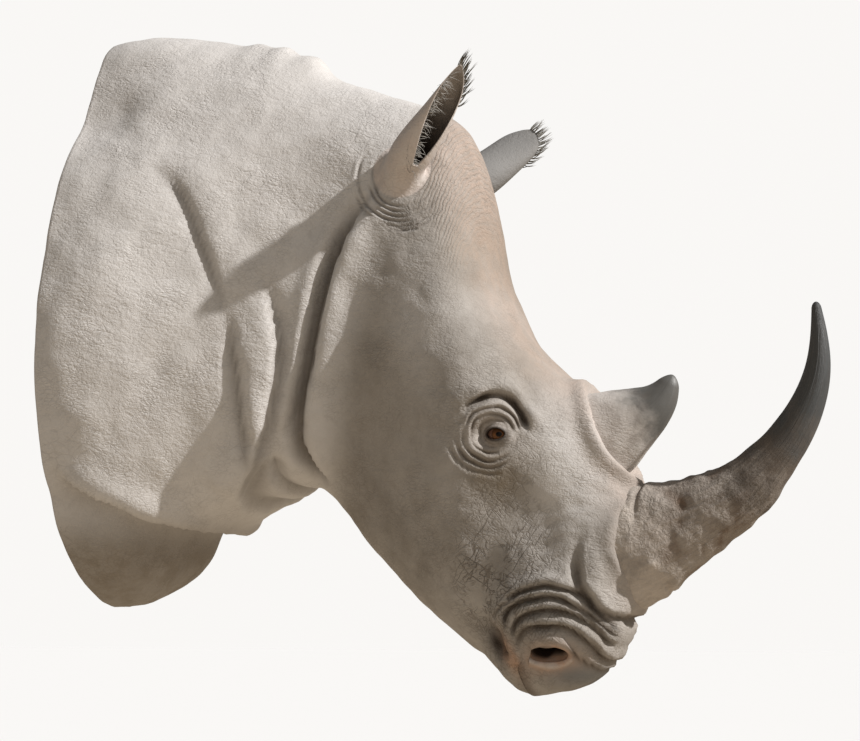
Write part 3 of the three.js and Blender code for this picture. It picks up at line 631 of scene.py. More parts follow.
def eye_part(hide, places, grid, side):
    """The lids round one eye: rings from the border of the opened block in to the almond-shaped edge,
    then over the lid's rim and round behind the eyeball. Near the edge the rings lie on a bowl over the
    eyeball: outward = radius + lid - r squared / (2 (radius + lid))."""
    ex, ef, ez = EYE["at"]
    block = Block(places, grid, side, (ef, ez), EYE)
    across, upward = np.cos(block.angle), np.sin(block.angle)
    rise = np.where(upward > 0, EYE["high"], EYE["low"])
    edge_z = rise * np.sign(upward) * np.abs(upward) ** 1.25
    u, t = block.rings(ef + EYE["wide"] * across, ez + edge_z, 45)
    p, grime, _ = skin(u, t)
    df, dz = p[..., 1] - ef, p[..., 2] - ez
    r = np.hypot(df, dz)
    out = r * (1 - 1 / np.maximum(np.hypot(df / EYE["wide"], dz / EYE["high"]), 1))
    bowl = EYE["radius"] + EYE["lid"]
    over = ex + bowl - r ** 2 / (2 * bowl)
    near = 1 - ease(out, 3, 24)
    crease = 2.2 * bell((out - 6.5) / 2.0) + 1.4 * bell((out - 11.5) / 2.2)
    p[..., 0] = side * (np.abs(p[..., 0]) * (1 - near) + over * near - crease)
    masks = hide_masks(p, u, t)
    # painted shade in the crease round the lids, and darkest at the lids' edge
    masks["grime"] = np.clip(np.maximum(grime, 0.5 * bell((out - 6.5) / 2)), 0, 1)
    masks["dark"] = np.maximum(masks["dark"], 0.85 * bell(out / 3.2))
    numbers = hide.add(p, **masks)
    centre = np.array([side * ex, ef, ez], float)
    # over the rim of the lids: each ring drawn in to a share of the edge, and sunk
    steps = [centre + (p[-1] - centre) * (1, shrink, shrink) - (side * sink, 0, 0)
             for shrink, sink in EYE["rim"]]
    away, back = unit(steps[-1] - centre), np.array([-side, 0, 0], float)
    behind = EYE["radius"] + EYE["behind"]
    for share in np.linspace(0, 0.94, 9):
        ray = away * (1 - share) + back * share + away * (0, 1, 1) * share * 1.5 * (1 - share)
        steps.append(centre + behind * unit(ray))
    # painted shade round the back of the eyeball
    block.hollow(hide, numbers, np.array(steps), centre + back * behind, dark=1.0, warm=0.3, rough=0.2)
    return block.limits


def nostril_edge(angle):
    """Reach of the nostril's edge in a direction: a superellipse."""
    a, b = NOSTRIL["radii"]
    power = NOSTRIL["power"]
    return (np.abs(np.cos(angle) / a) ** power + np.abs(np.sin(angle) / b) ** power) ** (-1 / power)


def nostril_part(hide, places, grid, side):
    """One nostril: rings from the border of the opened block in to a rounded oblong edge, then inward
    along a line towards the middle of the head, shrinking to a closed end."""
    cf, cz = NOSTRIL["at"]
    a, b = NOSTRIL["radii"]
    block = Block(places, grid, side, (cf, cz), NOSTRIL)
    # the edge's points are more evenly spaced than the directions of the border's points
    angle = np.unwrap(block.angle)
    way = 1 if angle[-1] > angle[0] else -1
    full = angle[0] + way * np.linspace(0, 2 * np.pi, 721)
    run = running_length(nostril_edge(full)[:, None] * np.stack([np.cos(full), np.sin(full)], axis=-1))
    even = np.interp(np.arange(len(angle)) / len(angle) * run[-1], run, full)
    angle = 0.35 * angle + 0.65 * even
    c, s, radius = np.cos(angle), np.sin(angle), nostril_edge(angle)
    sag = -2.0 * (1 - ease(np.abs(radius * c), 2, 16)) * ease(s, 0, 0.6)
    u, t = block.rings(cf + radius * c, cz + radius * s + sag, 29)
    p, grime, n = skin(u, t)
    df, dz = p[..., 1] - cf, p[..., 2] - cz
    out = np.hypot(df, dz) * (1 - 1 / np.maximum(np.hypot(df / a, dz / b), 1))
    lip = 3.5 * bell((out - 7) / 6) * (0.6 + 0.4 * ease(-dz, 0, 10)) - 2.5 * bell(out / 2.5)
    lip += 5 * bell((out - 16) / 9) * ease(dz, -5, 12)
    p = p + n * lip[..., None]
    # below is a painted highlight on the lower rim; the upper rim gets painted shade
    below, ahead = bell((out - 4) / 6) * ease(-dz, 2, 10), bell((out - 1) / 6) * ease(df, 4, 26)
    masks = hide_masks(p, u, t)
    masks["dark"] = np.maximum(masks["dark"], 0.35 * bell(out / 2.4) * ease(dz, -12, 6))
    masks["dusty"] = np.clip(masks["dusty"] + 1.1 * below, 0, 1)
    masks["warm"] = np.clip(masks["warm"] * (1 - 0.6 * below) + 0.9 * ahead, 0, 1)
    masks["cool"] = masks["cool"] * (1 - below)
    numbers = hide.add(p, grime=grime, **masks)
    centre = p[-1].mean(0)
    inward = unit(np.array(NOSTRIL["inward"]) * (side, 1, 1)) * NOSTRIL["deep"]
    depth = np.linspace(0.05, 1, NOSTRIL["rings"])[:, None]
    width = 1 + 0.10 * np.sin(np.pi * np.minimum(depth * 3, 1)) - 0.72 * depth ** 1.6
    steps = centre + (p[-1] - centre) * width[..., None] + inward * depth[..., None]
    # painted shade down the nostril, deepening inward and starting deeper where the lower wall is lit
    lit = 0.35 * ease(-s, -0.6, 0.8) * ease(c, -0.6, 0.8)
    block.hollow(hide, numbers, steps, steps[-1].mean(0), dark=ease(depth, 0.12 + 0.25 * lit, 0.34 + lit),
                 warm=1 - ease(depth, 0.3, 1.0))
    return block.limits


def ear_frame(name):
    """Root, axis, facing and across directions of an ear in the body's own coordinates."""
    ear, side = EARS[name], SIDES[name]
    axis = unit(np.array(ear["axis"], float))
    facing = np.array(ear["facing"], float)
    facing = unit(facing - axis * (facing @ axis))
    across = np.cross(axis, facing)
    mirror = np.array([side, 1, 1], float)
    return np.array(ear["root"], float) * mirror, axis * mirror, facing * mirror, across * mirror


def ear_rim(turn):
    """Height of the ear's rim: lowest on the outer side of where it faces, highest behind, as a power of
    a cosine of the turn, twisted near its lowest place."""
    turn = turn + EAR["twist"] * (1 + np.cos(turn)) / 2
    return EAR["length"] * (EAR["low"] + (1 - EAR["low"]) * ((1 - np.cos(turn)) / 2) ** EAR["slant"])


def ear_point(name, turn, height, thin):
    """Point of the ear's wall at a turn round its axis and a height along it, thin millimetres inside the
    outer face. The wall is a tube flattened fore and aft whose radius is a spline of the height."""
    root, axis, facing, across = ear_frame(name)
    knots = np.linspace(0, EAR["length"], len(EAR["radius"]))
    shape = np.shape(height)
    r = spline(knots, np.array(EAR["radius"], float)[:, None], np.clip(height, 0, EAR["length"]).ravel())
    r = r.reshape(shape) - thin
    curl = EAR["curl"] * (height / EAR["length"]) ** 3
    low, high = EAR["flat"]
    flat = (low + (high - low) * height / EAR["length"]) * r * np.cos(turn) - curl
    return (root + axis * height[..., None] + facing * flat[..., None]
            + across * (r * np.sin(turn))[..., None])


def ear_part(hide, places, grid, name):
    """One ear: rings of hide in to its foot, a rounded foot made as a Hermite curve from the hide to the
    wall, the outer wall up to the slanting rim, and the inner wall down to a closed canal."""
    side, length = SIDES[name], EAR["length"]
    root, _, facing, across = ear_frame(name)
    block = Block(places, grid, side, root[1:], EAR)
    ring = EAR["foot"] * np.array([np.cos(block.angle), np.sin(block.angle)])
    u, t = block.rings(root[1] + ring[0], root[2] + ring[1], 23)
    p, grime, n = skin(u, t)
    numbers = hide.add(p, grime=grime, **hide_masks(p, u, t))
    off = p[-1] - root
    turn = np.arctan2(off @ across, off @ facing)
    first, turn, count = np.argmin(np.abs(turn)), np.unwrap(turn), len(turn)
    even = turn[first] + np.sign(turn[-1] - turn[0]) * 2 * np.pi * (np.arange(count) - first) / count
    inward = root - p[-1]
    inward = unit(inward - (inward * n[-1]).sum(-1, keepdims=True) * n[-1]) * EAR["pull"][0]
    foot_height = np.minimum(EAR["foot_top"], 0.8 * ear_rim(turn) + 2)
    foot = ear_point(name, turn, foot_height, 0)
    upward = (ear_point(name, turn, foot_height + 1, 0) - foot) * EAR["pull"][1]
    steps = [(2 * s ** 3 - 3 * s ** 2 + 1) * p[-1] + (s ** 3 - 2 * s ** 2 + s) * inward
             + (3 * s ** 2 - 2 * s ** 3) * foot + (s ** 3 - s ** 2) * upward
             for s in np.linspace(0, 1, 11)[1:]]
    for s in np.linspace(0, 1, 16)[1:]:
        now = turn + (even - turn) * ease(s, 0, 0.6)
        rise = np.maximum(ear_rim(now), foot_height + EAR["lift"]) - foot_height
        steps.append(ear_point(name, now, foot_height + rise * s, 0.5 * s ** 4))
    top = np.maximum(ear_rim(even), foot_height + EAR["lift"])
    thick = EAR["wall"] * (1 - 0.5 * top / length)
    steps += [ear_point(name, even, top + 1.6, share * thick) for share in (0.3, 0.7)]
    outer = len(steps)
    steps += [ear_point(name, even, EAR["canal"] + (top - EAR["canal"]) * s, thick + 1.5 * (1 - s))
              for s in np.linspace(1, 0, 14)]
    steps = np.array(steps)
    order = np.arange(len(steps))[:, None]
    # painted shade over the ear's inside, deepest in the canal, and just inside the rim
    inside, deep = ease(order, outer - 1, outer + 1), ease(order, outer + 2, len(steps) - 2)
    tint = {key: a + (b - a) * inside for key, (a, b) in EARS[name]["tint"].items()}
    rim = bell((order - outer) / 2.0) * ease(top / length, 0.5, 0.9)
    wall = hide.add(steps, dark=0.22 * inside + 0.75 * deep, grime=0.6 * rim, rough=0.1,
                    along=block.start[0] * MM + order * 0.004, turn=even / (2 * np.pi), **tint)
    hide.quads(np.concatenate([block.numbers, numbers]), wrap(block.uv))
    # the ear has a place of its own on the unwrap
    start, tall = UNWRAP["ear"]
    sectors = EARS[name]["unwrap"] + UNWRAP["ear_width"] * np.arange(count + 1) / count
    levels = start + tall * np.arange(len(steps) + 1) / len(steps)
    island = np.stack(np.meshgrid(sectors, levels), axis=-1)
    hide.quads(np.concatenate([numbers[-1:], wall]), island)
    hide.fan(wall[-1], island[-1], steps[-1].mean(0), island[-1].mean(0), dark=1.0)
    return block.limits


def back_rings(edge):
    """The hide's cut back: from its edge straight in to the pocket, forward to the pocket's floor. Each
    ring is the edge drawn in towards the middle by its inset."""
    middle = np.array([0.0, 0.0, edge[:, 2].mean()])
    ray = unit((edge - middle) * (1, 0, 1))
    lip, inset, deep = POCKET["edge"], POCKET["inset"], POCKET["deep"]
    steps = np.array([(inset + 120, deep), (inset + 40, deep), (inset, deep), (inset, lip + 1),
                      (inset - 1, lip), (5.0, lip), (1.2, lip + 0.6)])
    rings = edge - ray * steps[:, 0, None, None]
    rings[..., 1] = steps[:, 1:]
    return rings, middle + (0, deep, 0)


def hide_mesh():
    """The whole hide as one closed mesh: back, body grid with opened blocks, eyes, nostrils, ears and the
    closed mouth."""
    hide, places = Shell(), ring_places()
    u, t = np.meshgrid(places, np.arange(COLUMNS) * 2 / COLUMNS, indexing="ij")
    p, grime, _ = skin(u, t)
    p[0, :, 1] = POCKET["edge"] + 2.0
    p[..., 1] = np.maximum(p[..., 1], POCKET["edge"] + 2.0)
    backs, pole = back_rings(p[0])
    back_numbers = hide.add(backs, rough=0.3, dark=0.35, warm=0.8)
    grid = hide.add(p, grime=grime, **hide_masks(p, u, t))
    keep = np.ones((len(places) - 1, COLUMNS), bool)
    for name, side in SIDES.items():
        for part, which in ((eye_part, side), (nostril_part, side), (ear_part, name)):
            i0, i1, j0, j1 = part(hide, places, grid, which)
            keep[i0:i1, j0:j1] = False
    turns = np.arange(COLUMNS + 1) * 2 / COLUMNS
    uv = grid_uv(places, *np.meshgrid(places, turns, indexing="ij"))
    hide.quads(grid, uv, keep)
    start, tall = UNWRAP["back"]
    back_uv = np.stack(np.meshgrid(turns / 2, np.linspace(start, start + tall, len(backs))), axis=-1)
    hide.quads(np.concatenate([back_numbers, grid[:1]]), np.concatenate([back_uv, uv[:1]]))
    hide.fan(back_numbers[0], back_uv[0], pole, back_uv[0, :-1] * (1, 0), forward=True, dark=0.3)
    # the mouth: upper and lower halves of the last ring joined pair by pair, with a triangle at each corner
    half, last = COLUMNS // 2, grid[-1]
    j = np.arange(half // 2)
    for sign in (1, -1):
        faces = np.stack([last[(sign * k) % COLUMNS] for k in (j, j + 1, half - j - 1, half - j)], axis=-1)
        faces = faces[:, ::-sign]
        faces[-1] = (*sorted(set(faces[-1]), key=list(faces[-1]).index), -1)
        hide.faces.append(faces)
        hide.corners.append(np.broadcast_to(uv[-1, 0], faces.shape + (2,)).copy())
    return hide


def mesh_object(name, points, faces, corners, masks=None):
    """Object from points in millimetres (x, f, z). A face with -1 as its last corner is a triangle."""
    world = (points * (1, -1, 1)) * MM
    three = faces[:, 3] < 0
    order = np.concatenate([np.flatnonzero(~three), np.flatnonzero(three)])
    sizes = np.where(three[order], 3, 4)
    used = (np.arange(4)[None] < sizes[:, None]).reshape(-1)
    loops = faces[order].reshape(-1)[used]
    mesh = bpy.data.meshes.new(name)
    mesh.vertices.add(len(world))
    mesh.vertices.foreach_set("co", world.astype(np.float32).ravel())
    mesh.loops.add(len(loops))
    mesh.loops.foreach_set("vertex_index", loops.astype(np.int32))
    mesh.polygons.add(len(faces))
    mesh.polygons.foreach_set("loop_start", np.concatenate([[0], np.cumsum(sizes)[:-1]]).astype(np.int32))
    mesh.update(calc_edges=True)
    layer = mesh.uv_layers.new(name="OFBake")
    layer.uv.foreach_set("vector", corners[order].reshape(-1, 2)[used].astype(np.float32).ravel())
    for key, values in (masks or {}).items():
        mesh.attributes.new(key, "FLOAT", "POINT").data.foreach_set("value", values.astype(np.float32))
    mesh.validate()
    mesh.shade_smooth()
    made = bpy.data.objects.new(name, mesh)
    bpy.context.scene.collection.objects.link(made)
    return made


# ---- eyes, horns and hair ----
def eyeball_mesh(side):
    """One eyeball: a ball drawn as rings round its line of sight, radius + cornea * bell(angle from the
    line of sight). On its unwrap the distance from the middle is half that angle over pi."""
    centre = np.array(EYE["at"], float) * (side, 1, 1)
    sight = unit(np.array(EYE["sight"]) * (side, 1, 1))
    right = unit(np.cross(sight, (0, 0, 1.0)))
    up = np.cross(right, sight)
    ball, cornea = EYE["radius"] - EYE["slack"], EYE["cornea"]
    rows, sides = 56, 72
    angle = np.pi * np.linspace(0, 1, rows)[1:-1] ** 1.3
    a, b = np.meshgrid(angle, 2 * np.pi * np.arange(sides + 1) / sides, indexing="ij")
    ray = (np.cos(a)[..., None] * sight + (np.sin(a) * np.cos(b))[..., None] * right
           + (np.sin(a) * np.sin(b))[..., None] * up)
    points = centre + (ball + cornea * bell(a / EYE["spread"]))[..., None] * ray
    flat = 0.5 + 0.5 * (a / np.pi)[..., None] * np.stack([np.cos(b), np.sin(b)], axis=-1)
    eye = Shell()
    numbers = eye.add(points[:, :-1])
    eye.quads(numbers, flat)
    eye.fan(numbers[0], flat[0], centre + (ball + cornea) * sight, (0.5, 0.5))
    eye.fan(numbers[-1], flat[-1], centre - ball * sight, (flat[-1, :-1] + flat[-1, 1:]) / 2, forward=True)
    return eye


def horn_mesh(name):
    """One horn: rings across a spline centre line, closer together towards the tip. The radius is a
    spline of the length, rounded off over the last stretch as a quarter circle, and made rougher towards
    the base by fibres (noise fine round the horn and long along it), by cracks across it, by lumps, and
    by a ragged crust that ends a third of the way up. Gives the shell, and at each point the share of the
    length, the place of the grain, and how far the crust is worn."""
    shape = HORNS[name]
    line, radius = np.array(shape["line"], float), np.array(shape["radius"], float)[:, None]
    knots = running_length(line)
    share = 1 - (1 - np.linspace(0, 1, shape["rows"])) ** 1.3
    at = share * knots[-1]
    centre = spline(knots, line, at)
    along = unit(np.gradient(centre, at, axis=0))
    end = 1.5 * shape["radius"][-1]
    into = np.clip((at - knots[-1] + end) / end, 0, 0.999)
    girth = spline(knots, radius, at) * np.sqrt(1 - into[:, None] ** 2)
    s, a = np.meshgrid(share, 2 * np.pi * np.arange(shape["sides"] + 1) / shape["sides"], indexing="ij")
    ring = np.stack([np.cos(a), np.sin(a)], axis=-1)
    length = knots[-1] / 100

    def streak(fine, long, seed):
        """Noise over the horn: fine is how often it changes round it, long along it."""
        return noise(np.concatenate([ring * fine, (s * length * long)[..., None]], axis=-1), seed)

    rough, crust = shape["rough"] * (1 - ease(s, *shape["worn"])), shape["crust"]
    fibres = 0.5 * streak(24, 1.3, 5) + 0.25 * streak(50, 2.4, 6) + 0.7 * streak(9, 0.8, 7)
    cycle = s * length * 1.15 + 0.45 * streak(0.8, 1.2, 17)
    cracks = bell((cycle - np.round(cycle)) / 0.06) * ease(streak(1.4, 2.0, 18), -0.25, 0.35)
    lumps = 7.5 * streak(0.8, 2.4, 8) + 3.6 * streak(2.1, 4.6, 9) + 0.7 * streak(7, 9, 15)
    lumps = lumps - 6.5 * cracks * (1 - ease(s, 0.22, 0.36))
    edge = crust + 0.05 * streak(3.0, 0.3, 10) + 0.02 * streak(14, 0.3, 11)
    layer = 1 - ease(s, edge - 0.01, edge + 0.02)
    flakes = layer * (1.5 + 0.2 * streak(30, 5.0, 12) + 0.8 * streak(8, 5.0, 13))
    fine = np.minimum(1, 8 * (1 - into))[:, None]
    r = np.maximum(girth + fine * (rough * (fibres + lumps) + flakes + 0.3 * streak(56, 1.0, 14)), 0.3)
    across = np.stack([-along[:, 1], along[:, 0]], axis=-1)
    middle = centre[:, None] + (r * ring[..., 0])[..., None] * across[:, None]
    points = np.concatenate([(shape["narrow"] * r * ring[..., 1])[..., None], middle], axis=-1)
    uv = np.stack([0.01 + 0.98 * a / (2 * np.pi), 0.02 + 0.96 * s], axis=-1)
    horn = Shell()
    numbers = horn.add(points[:, :-1])
    horn.quads(numbers, uv)
    for row, level in ((0, 0.002), (-1, 0.998)):
        horn.fan(numbers[row], uv[row], points[row, :-1].mean(0), (uv[row, :, 0].mean(), level), row == 0)
    hollow = np.clip(0.25 * layer + ease(-lumps, -0.5, 4.5), 0, 1) * rough
    shares, worn = (np.append(v[:, :-1], ends) for v, ends in ((s, (0, 1)), (hollow, (0, 0))))
    grain = np.concatenate([ring, s[..., None] * length], axis=-1)[:, :-1].reshape(-1, 3)
    return horn, shares, np.concatenate([grain, [(0, 0, 0), (0, 0, length)]]), worn


def hair_mesh(roots, aim, bend, length, width, uv):
    """Many hairs as one mesh: each a three-sided taper along root + length * (aim * s + bend * s squared),
    with half width times (1 - s) to the power 0.7, closed at both ends."""
    count, rows, sides = len(roots), 7, 3
    s = np.linspace(0, 1, rows)[None, :, None]
    path = roots[:, None] + length[:, None, None] * (aim[:, None] * s + bend[:, None] * s ** 2)
    ahead = unit(np.gradient(path, axis=1))
    one = unit(np.cross(ahead, (0.31, 0.52, 0.79)))
    two = np.cross(ahead, one)
    turn = 2 * np.pi * np.arange(sides)[:, None] / sides
    r = (0.5 * width[:, None, None] * np.maximum(1 - s, 0.02) ** 0.7)[..., None]
    points = path[:, :, None] + r * (np.cos(turn) * one[:, :, None] + np.sin(turn) * two[:, :, None])
    base = (np.arange(count) * rows * sides)[:, None, None]
    ring = wrap(np.arange(rows * sides).reshape(rows, sides))
    quads = np.stack([ring[:-1, :-1], ring[:-1, 1:], ring[1:, 1:], ring[1:, :-1]], axis=-1).reshape(1, -1, 4)
    last = rows * sides
    caps = np.array([[[2, 1, 0, -1], [last - 3, last - 2, last - 1, -1]]])
    faces = np.concatenate([quads + base, np.where(caps < 0, -1, caps + base)], axis=1).reshape(-1, 4)
    spots = np.array([(0, 0), (1, 0), (1, 1), (0, 1)]) * 0.003
    corners = np.broadcast_to(uv[:, None, None] + spots, (count, quads.shape[1] + 2, 4, 2)).reshape(-1, 4, 2)
    return points.reshape(-1, 3), faces, corners


def ear_hairs(name, settings):
    """Roots, aims, bends, lengths, widths and unwrap places of one ear's fringe and of the wisps inside.
    The fringe stands out from the rim in small locks, the wisps lie across the opening."""
    ear, (_, axis, facing, across) = EARS[name], ear_frame(name)
    rng = np.random.default_rng(ear["seed"])
    locks, inner = settings.locks, settings.wisps
    low, high = np.radians(ear["fringe"])
    lock = (np.arange(locks) + rng.uniform(0.1, 0.9, locks)) / locks
    owner = np.repeat(np.arange(locks), settings.lock_hairs)
    count = len(owner)
    turn = low + (high - low) * (lock[owner] + rng.normal(0, 0.004, count))
    height = ear_rim(turn)
    up = ease(height / EAR["length"], 0.55, 1.0)[:, None]
    out = unit(np.cos(turn)[:, None] * facing * 0.6 + np.sin(turn)[:, None] * across)
    start = ear_point(name, turn, height - 1, 2.0)
    swing = rng.normal(0, 0.16, (locks, 3))[owner]
    aim = unit(out * (1.1 - 0.6 * up) + axis * (0.15 + 0.9 * up) + swing + rng.normal(0, 0.05, (count, 3)))
    bend = axis * 0.7 - out * 0.3 + swing * 0.3 + rng.normal(0, 0.04, (count, 3))
    length = settings.fringe_length / MM * rng.uniform(0.55, 1.1, locks)[owner] * rng.uniform(0.8, 1, count)
    width = rng.uniform(1.4, 2.2, count)
    low, high = np.radians(ear["wisps"])
    turn_in = rng.uniform(low, high, inner)
    begin = ear_point(name, turn_in, ear_rim(turn_in) * rng.uniform(0.86, 0.99, inner), 5.0)
    aim_in = unit(-np.sin(turn_in)[:, None] * across + 0.4 * facing + axis * 0.2
                  + rng.normal(0, 0.3, (inner, 3)))
    bend_in = -0.35 * axis + rng.normal(0, 0.25, (inner, 3))
    width_uv = UNWRAP["ear_width"]
    spot, spot_in = (np.stack([ear["unwrap"] + width_uv * np.mod(v, 2 * np.pi) / (2 * np.pi),
                               np.full(len(v), UNWRAP[key])], axis=-1)
                     for v, key in ((turn, "fringe"), (turn_in, "wisps")))
    fringe = start, aim, bend, length, width, spot
    wisps = begin, aim_in, bend_in, rng.uniform(12, 30, inner), rng.uniform(1.0, 1.7, inner), spot_in
    return fringe, wisps


# ---- materials ----
class Nodes:
    """Adds nodes to one tree. Most methods give the socket that is used next."""

    def __init__(self, tree):
        self.tree = tree

    def fill(self, socket, value):
        """Links a socket to another one, or gives it a value."""
        if isinstance(value, bpy.types.NodeSocket):
            self.tree.links.new(value, socket)
        else:
            socket.default_value = value

    def add(self, kind, inputs, **settings):
        """Adds a shader node, sets its properties, and fills its sockets."""
        made = self.tree.nodes.new("ShaderNode" + kind)
        for key, value in settings.items():
            setattr(made, key, value)
        for key, value in inputs.items():
            self.fill(made.inputs[key], value)
        return made.outputs

    def placed(self, build, inputs):
        """Places the node group that build makes, and that is named for it, once for all materials."""
        made = self.tree.nodes.new("ShaderNodeGroup")
        made.node_tree = bpy.data.node_groups.get(build.__name__) or build()
        for key, value in inputs.items():
            self.fill(made.inputs[key], value)
        return made.outputs

    def place(self):
        """The point on the object."""
        return self.add("TexCoord", {})["Object"]

    def mask(self, name):
        """Value of one of the piece's own attributes."""
        return self.add("Attribute", {}, attribute_name=name)["Fac"]

    def drawn(self, place, scale):
        """A place drawn out or in along each axis."""
        return self.add("Mapping", {"Vector": place, "Scale": scale})[0]

    def noise(self, place, scale, detail, roughness=0.5, distortion=0.0, output="Fac"):
        """Noise at a place."""
        return self.add("TexNoise", {"Vector": place, "Scale": scale, "Detail": detail,
                                     "Roughness": roughness, "Distortion": distortion})[output]

    def mottle(self, place, scale):
        """Soft blotches at a place."""
        return self.placed(mottle, {"Vector": place, "Scale": scale})["Mask"]

    def mix(self, factor, a, b):
        """Mixes two colours."""
        a, b = (v if isinstance(v, bpy.types.NodeSocket) else (*tuple(v)[:3], 1.0) for v in (a, b))
        return self.add("Mix", {0: factor, 6: a, 7: b}, data_type="RGBA")[2]

    def layers(self, colour, *layers):
        """Lays colours over one another in turn: each layer is a share and a colour."""
        for share, tone in layers:
            colour = self.mix(share, colour, tone)
        return colour

    def maths(self, operation, a, b=0.0, clamp=False):
        """One sum."""
        return self.add("Math", {0: a, 1: b}, operation=operation, use_clamp=clamp)[0]

    def times(self, a, b, clamp=False):
        """Product."""
        return self.maths("MULTIPLY", a, b, clamp)

    def plus(self, a, b, clamp=False):
        """Total."""
        return self.maths("ADD", a, b, clamp)

    def less(self, a, b):
        """Difference."""
        return self.maths("SUBTRACT", a, b)

    def vector(self, operation, inputs, output=0):
        """One sum of vectors."""
        return self.add("VectorMath", inputs, operation=operation)[output]

    def ramp(self, value, low, high, to_low=0.0, to_high=1.0):
        """Maps a value from low and high to the two results, smoothly and without going past them."""
        return self.add("MapRange", {"Value": value, "From Min": low, "From Max": high, "To Min": to_low,
                                     "To Max": to_high}, interpolation_type="SMOOTHSTEP")["Result"]

    def bump(self, strength, distance, height):
        """Normal tilted by a height."""
        return self.add("Bump", {"Strength": strength, "Distance": distance, "Height": height})["Normal"]


class Finish(Nodes):
    """A new material with its Principled shader."""

    def __init__(self, name):
        self.material = bpy.data.materials.new(name)
        self.material.use_nodes = True
        super().__init__(self.material.node_tree)
        self.shader = self.tree.nodes["Principled BSDF"]

    def done(self, inputs):
        """Fills the shader's sockets, and gives the material."""
        for key, value in inputs.items():
            self.fill(self.shader.inputs[key], value)
        return self.material


def new_group(name, inputs, outputs):
    """Empty node group with named sockets: inputs are (name, type, default), outputs are names of values.
    Gives its nodes, and what comes in and goes out."""
    group = bpy.data.node_groups.new(name, "ShaderNodeTree")
    for label, kind, default in inputs:
        socket = group.interface.new_socket(name=label, in_out="INPUT", socket_type=kind)
        if default is not None:
            socket.default_value = default
    for label in outputs:
        group.interface.new_socket(name=label, in_out="OUTPUT", socket_type="NodeSocketFloat")
    return Nodes(group), group.nodes.new("NodeGroupInput").outputs, group.nodes.new("NodeGroupOutput").inputs


def mottle():
    """Soft blotches at two sizes: Mask goes from 0 to 1 over the surface."""
    n, given, result = new_group(
        "mottle", [("Vector", "NodeSocketVector", None), ("Scale", "NodeSocketFloat", 8.0)], ["Mask"])
    broad = n.noise(given["Vector"], given["Scale"], 5.0, 0.62, 0.3)
    n.fill(result["Mask"], n.ramp(broad, 0.32, 0.68))
    return n.tree


def wrinkles():
    """Skin texture. Height holds small plates parted by shallow creases, short streaks and pores, with a
    net of deeper creases cut in where Net is above 0. Lines is 1 in the net, Grain is 0 between plates.
    The plates are cells of unevenly drawn space, the net is bands of stretched noise close to its middle
    value, so that they wander, cross and end as real ones do."""
    n, given, result = new_group(
        "wrinkles", [("Vector", "NodeSocketVector", None), ("Net", "NodeSocketFloat", 0.5)],
        ["Height", "Lines", "Grain"])
    place = given["Vector"]

    def streaks(turn, scale, size, detail=3.0, distortion=0.0):
        turned = n.add("Mapping", {"Vector": place, "Rotation": turn, "Scale": [1 / c for c in scale]},
                       vector_type="TEXTURE")[0]
        return n.noise(turned, size, detail, 0.6, distortion)

    def patches(turn, size, low, high, to_low, to_high):
        return n.ramp(streaks(turn, (1, 1, 1), size), low, high, to_low, to_high)

    lines = []
    for turn, scale, size, reach, tall in (((0.55, 0.2, 0.1), (1, 1, 0.22), 46.0, 0.030, 1.0),
                                           ((-0.80, -0.2, 0.2), (1, 1, 0.25), 50.0, 0.028, 0.95),
                                           ((1.35, 0.2, -0.3), (1, 1, 0.3), 78.0, 0.035, 0.55)):
        off = n.maths("ABSOLUTE", n.less(streaks(turn, scale, size, 2.0, 0.25), 0.5))
        lines.append(n.times(n.ramp(off, 0.0, reach, 1.0, 0.0), tall))
    net = n.maths("MAXIMUM", n.maths("MAXIMUM", lines[0], lines[1]), lines[2])
    net = n.times(n.times(net, patches((0, 0, 0), 21.0, 0.36, 0.52, 0.0, 1.0)), given["Net"], True)
    drift = n.vector("SUBTRACT", {0: n.noise(place, 26.0, 3.0, output="Color"), 1: (0.5, 0.5, 0.5)})
    bent = n.vector("ADD", {0: place, 1: n.vector("SCALE", {0: drift, "Scale": 0.02})})

    def plates(scale, size, reach):
        gap = n.add("TexVoronoi", {"Vector": n.drawn(bent, scale), "Scale": size}, feature="DISTANCE_TO_EDGE")
        return n.ramp(gap["Distance"], 0.0, reach, 1.0, 0.0)

    small = n.times(plates((1, 1, 2.1), 86.0, 0.22), patches((0.4, 0, 0), 11.0, 0.38, 0.62, 0.15, 1.0))
    broad = n.times(plates((1, 1, 1.35), 38.0, 0.10), patches((0, 0.5, 0), 9.0, 0.42, 0.66, 0.0, 1.0))
    ridges = n.maths("MAXIMUM", small, broad)
    hatch = streaks((0.25, 0, 0.2), (0.7, 0.7, 1.5), 66.0, 4.0, 0.4)
    pores = n.ramp(n.add("TexVoronoi", {"Vector": place, "Scale": 300.0})["Distance"], 0.05, 0.6)
    fine = n.times(streaks((0.5, 0.3, 0), (1, 1, 0.7), 190.0), 0.45)
    height = n.less(n.times(hatch, 0.8), n.times(ridges, 0.17))
    height = n.times(height, patches((0, 0, 0.4), 7.0, 0.38, 0.62, 0.35, 1.1))
    height = n.plus(n.plus(height, fine), n.times(pores, 0.06))
    n.fill(result["Height"], n.less(height, n.times(net, 0.6)))
    n.fill(result["Lines"], net)
    n.fill(result["Grain"], n.ramp(ridges, 0.4, 1.0, 1.0, 0.0))
    return n.tree


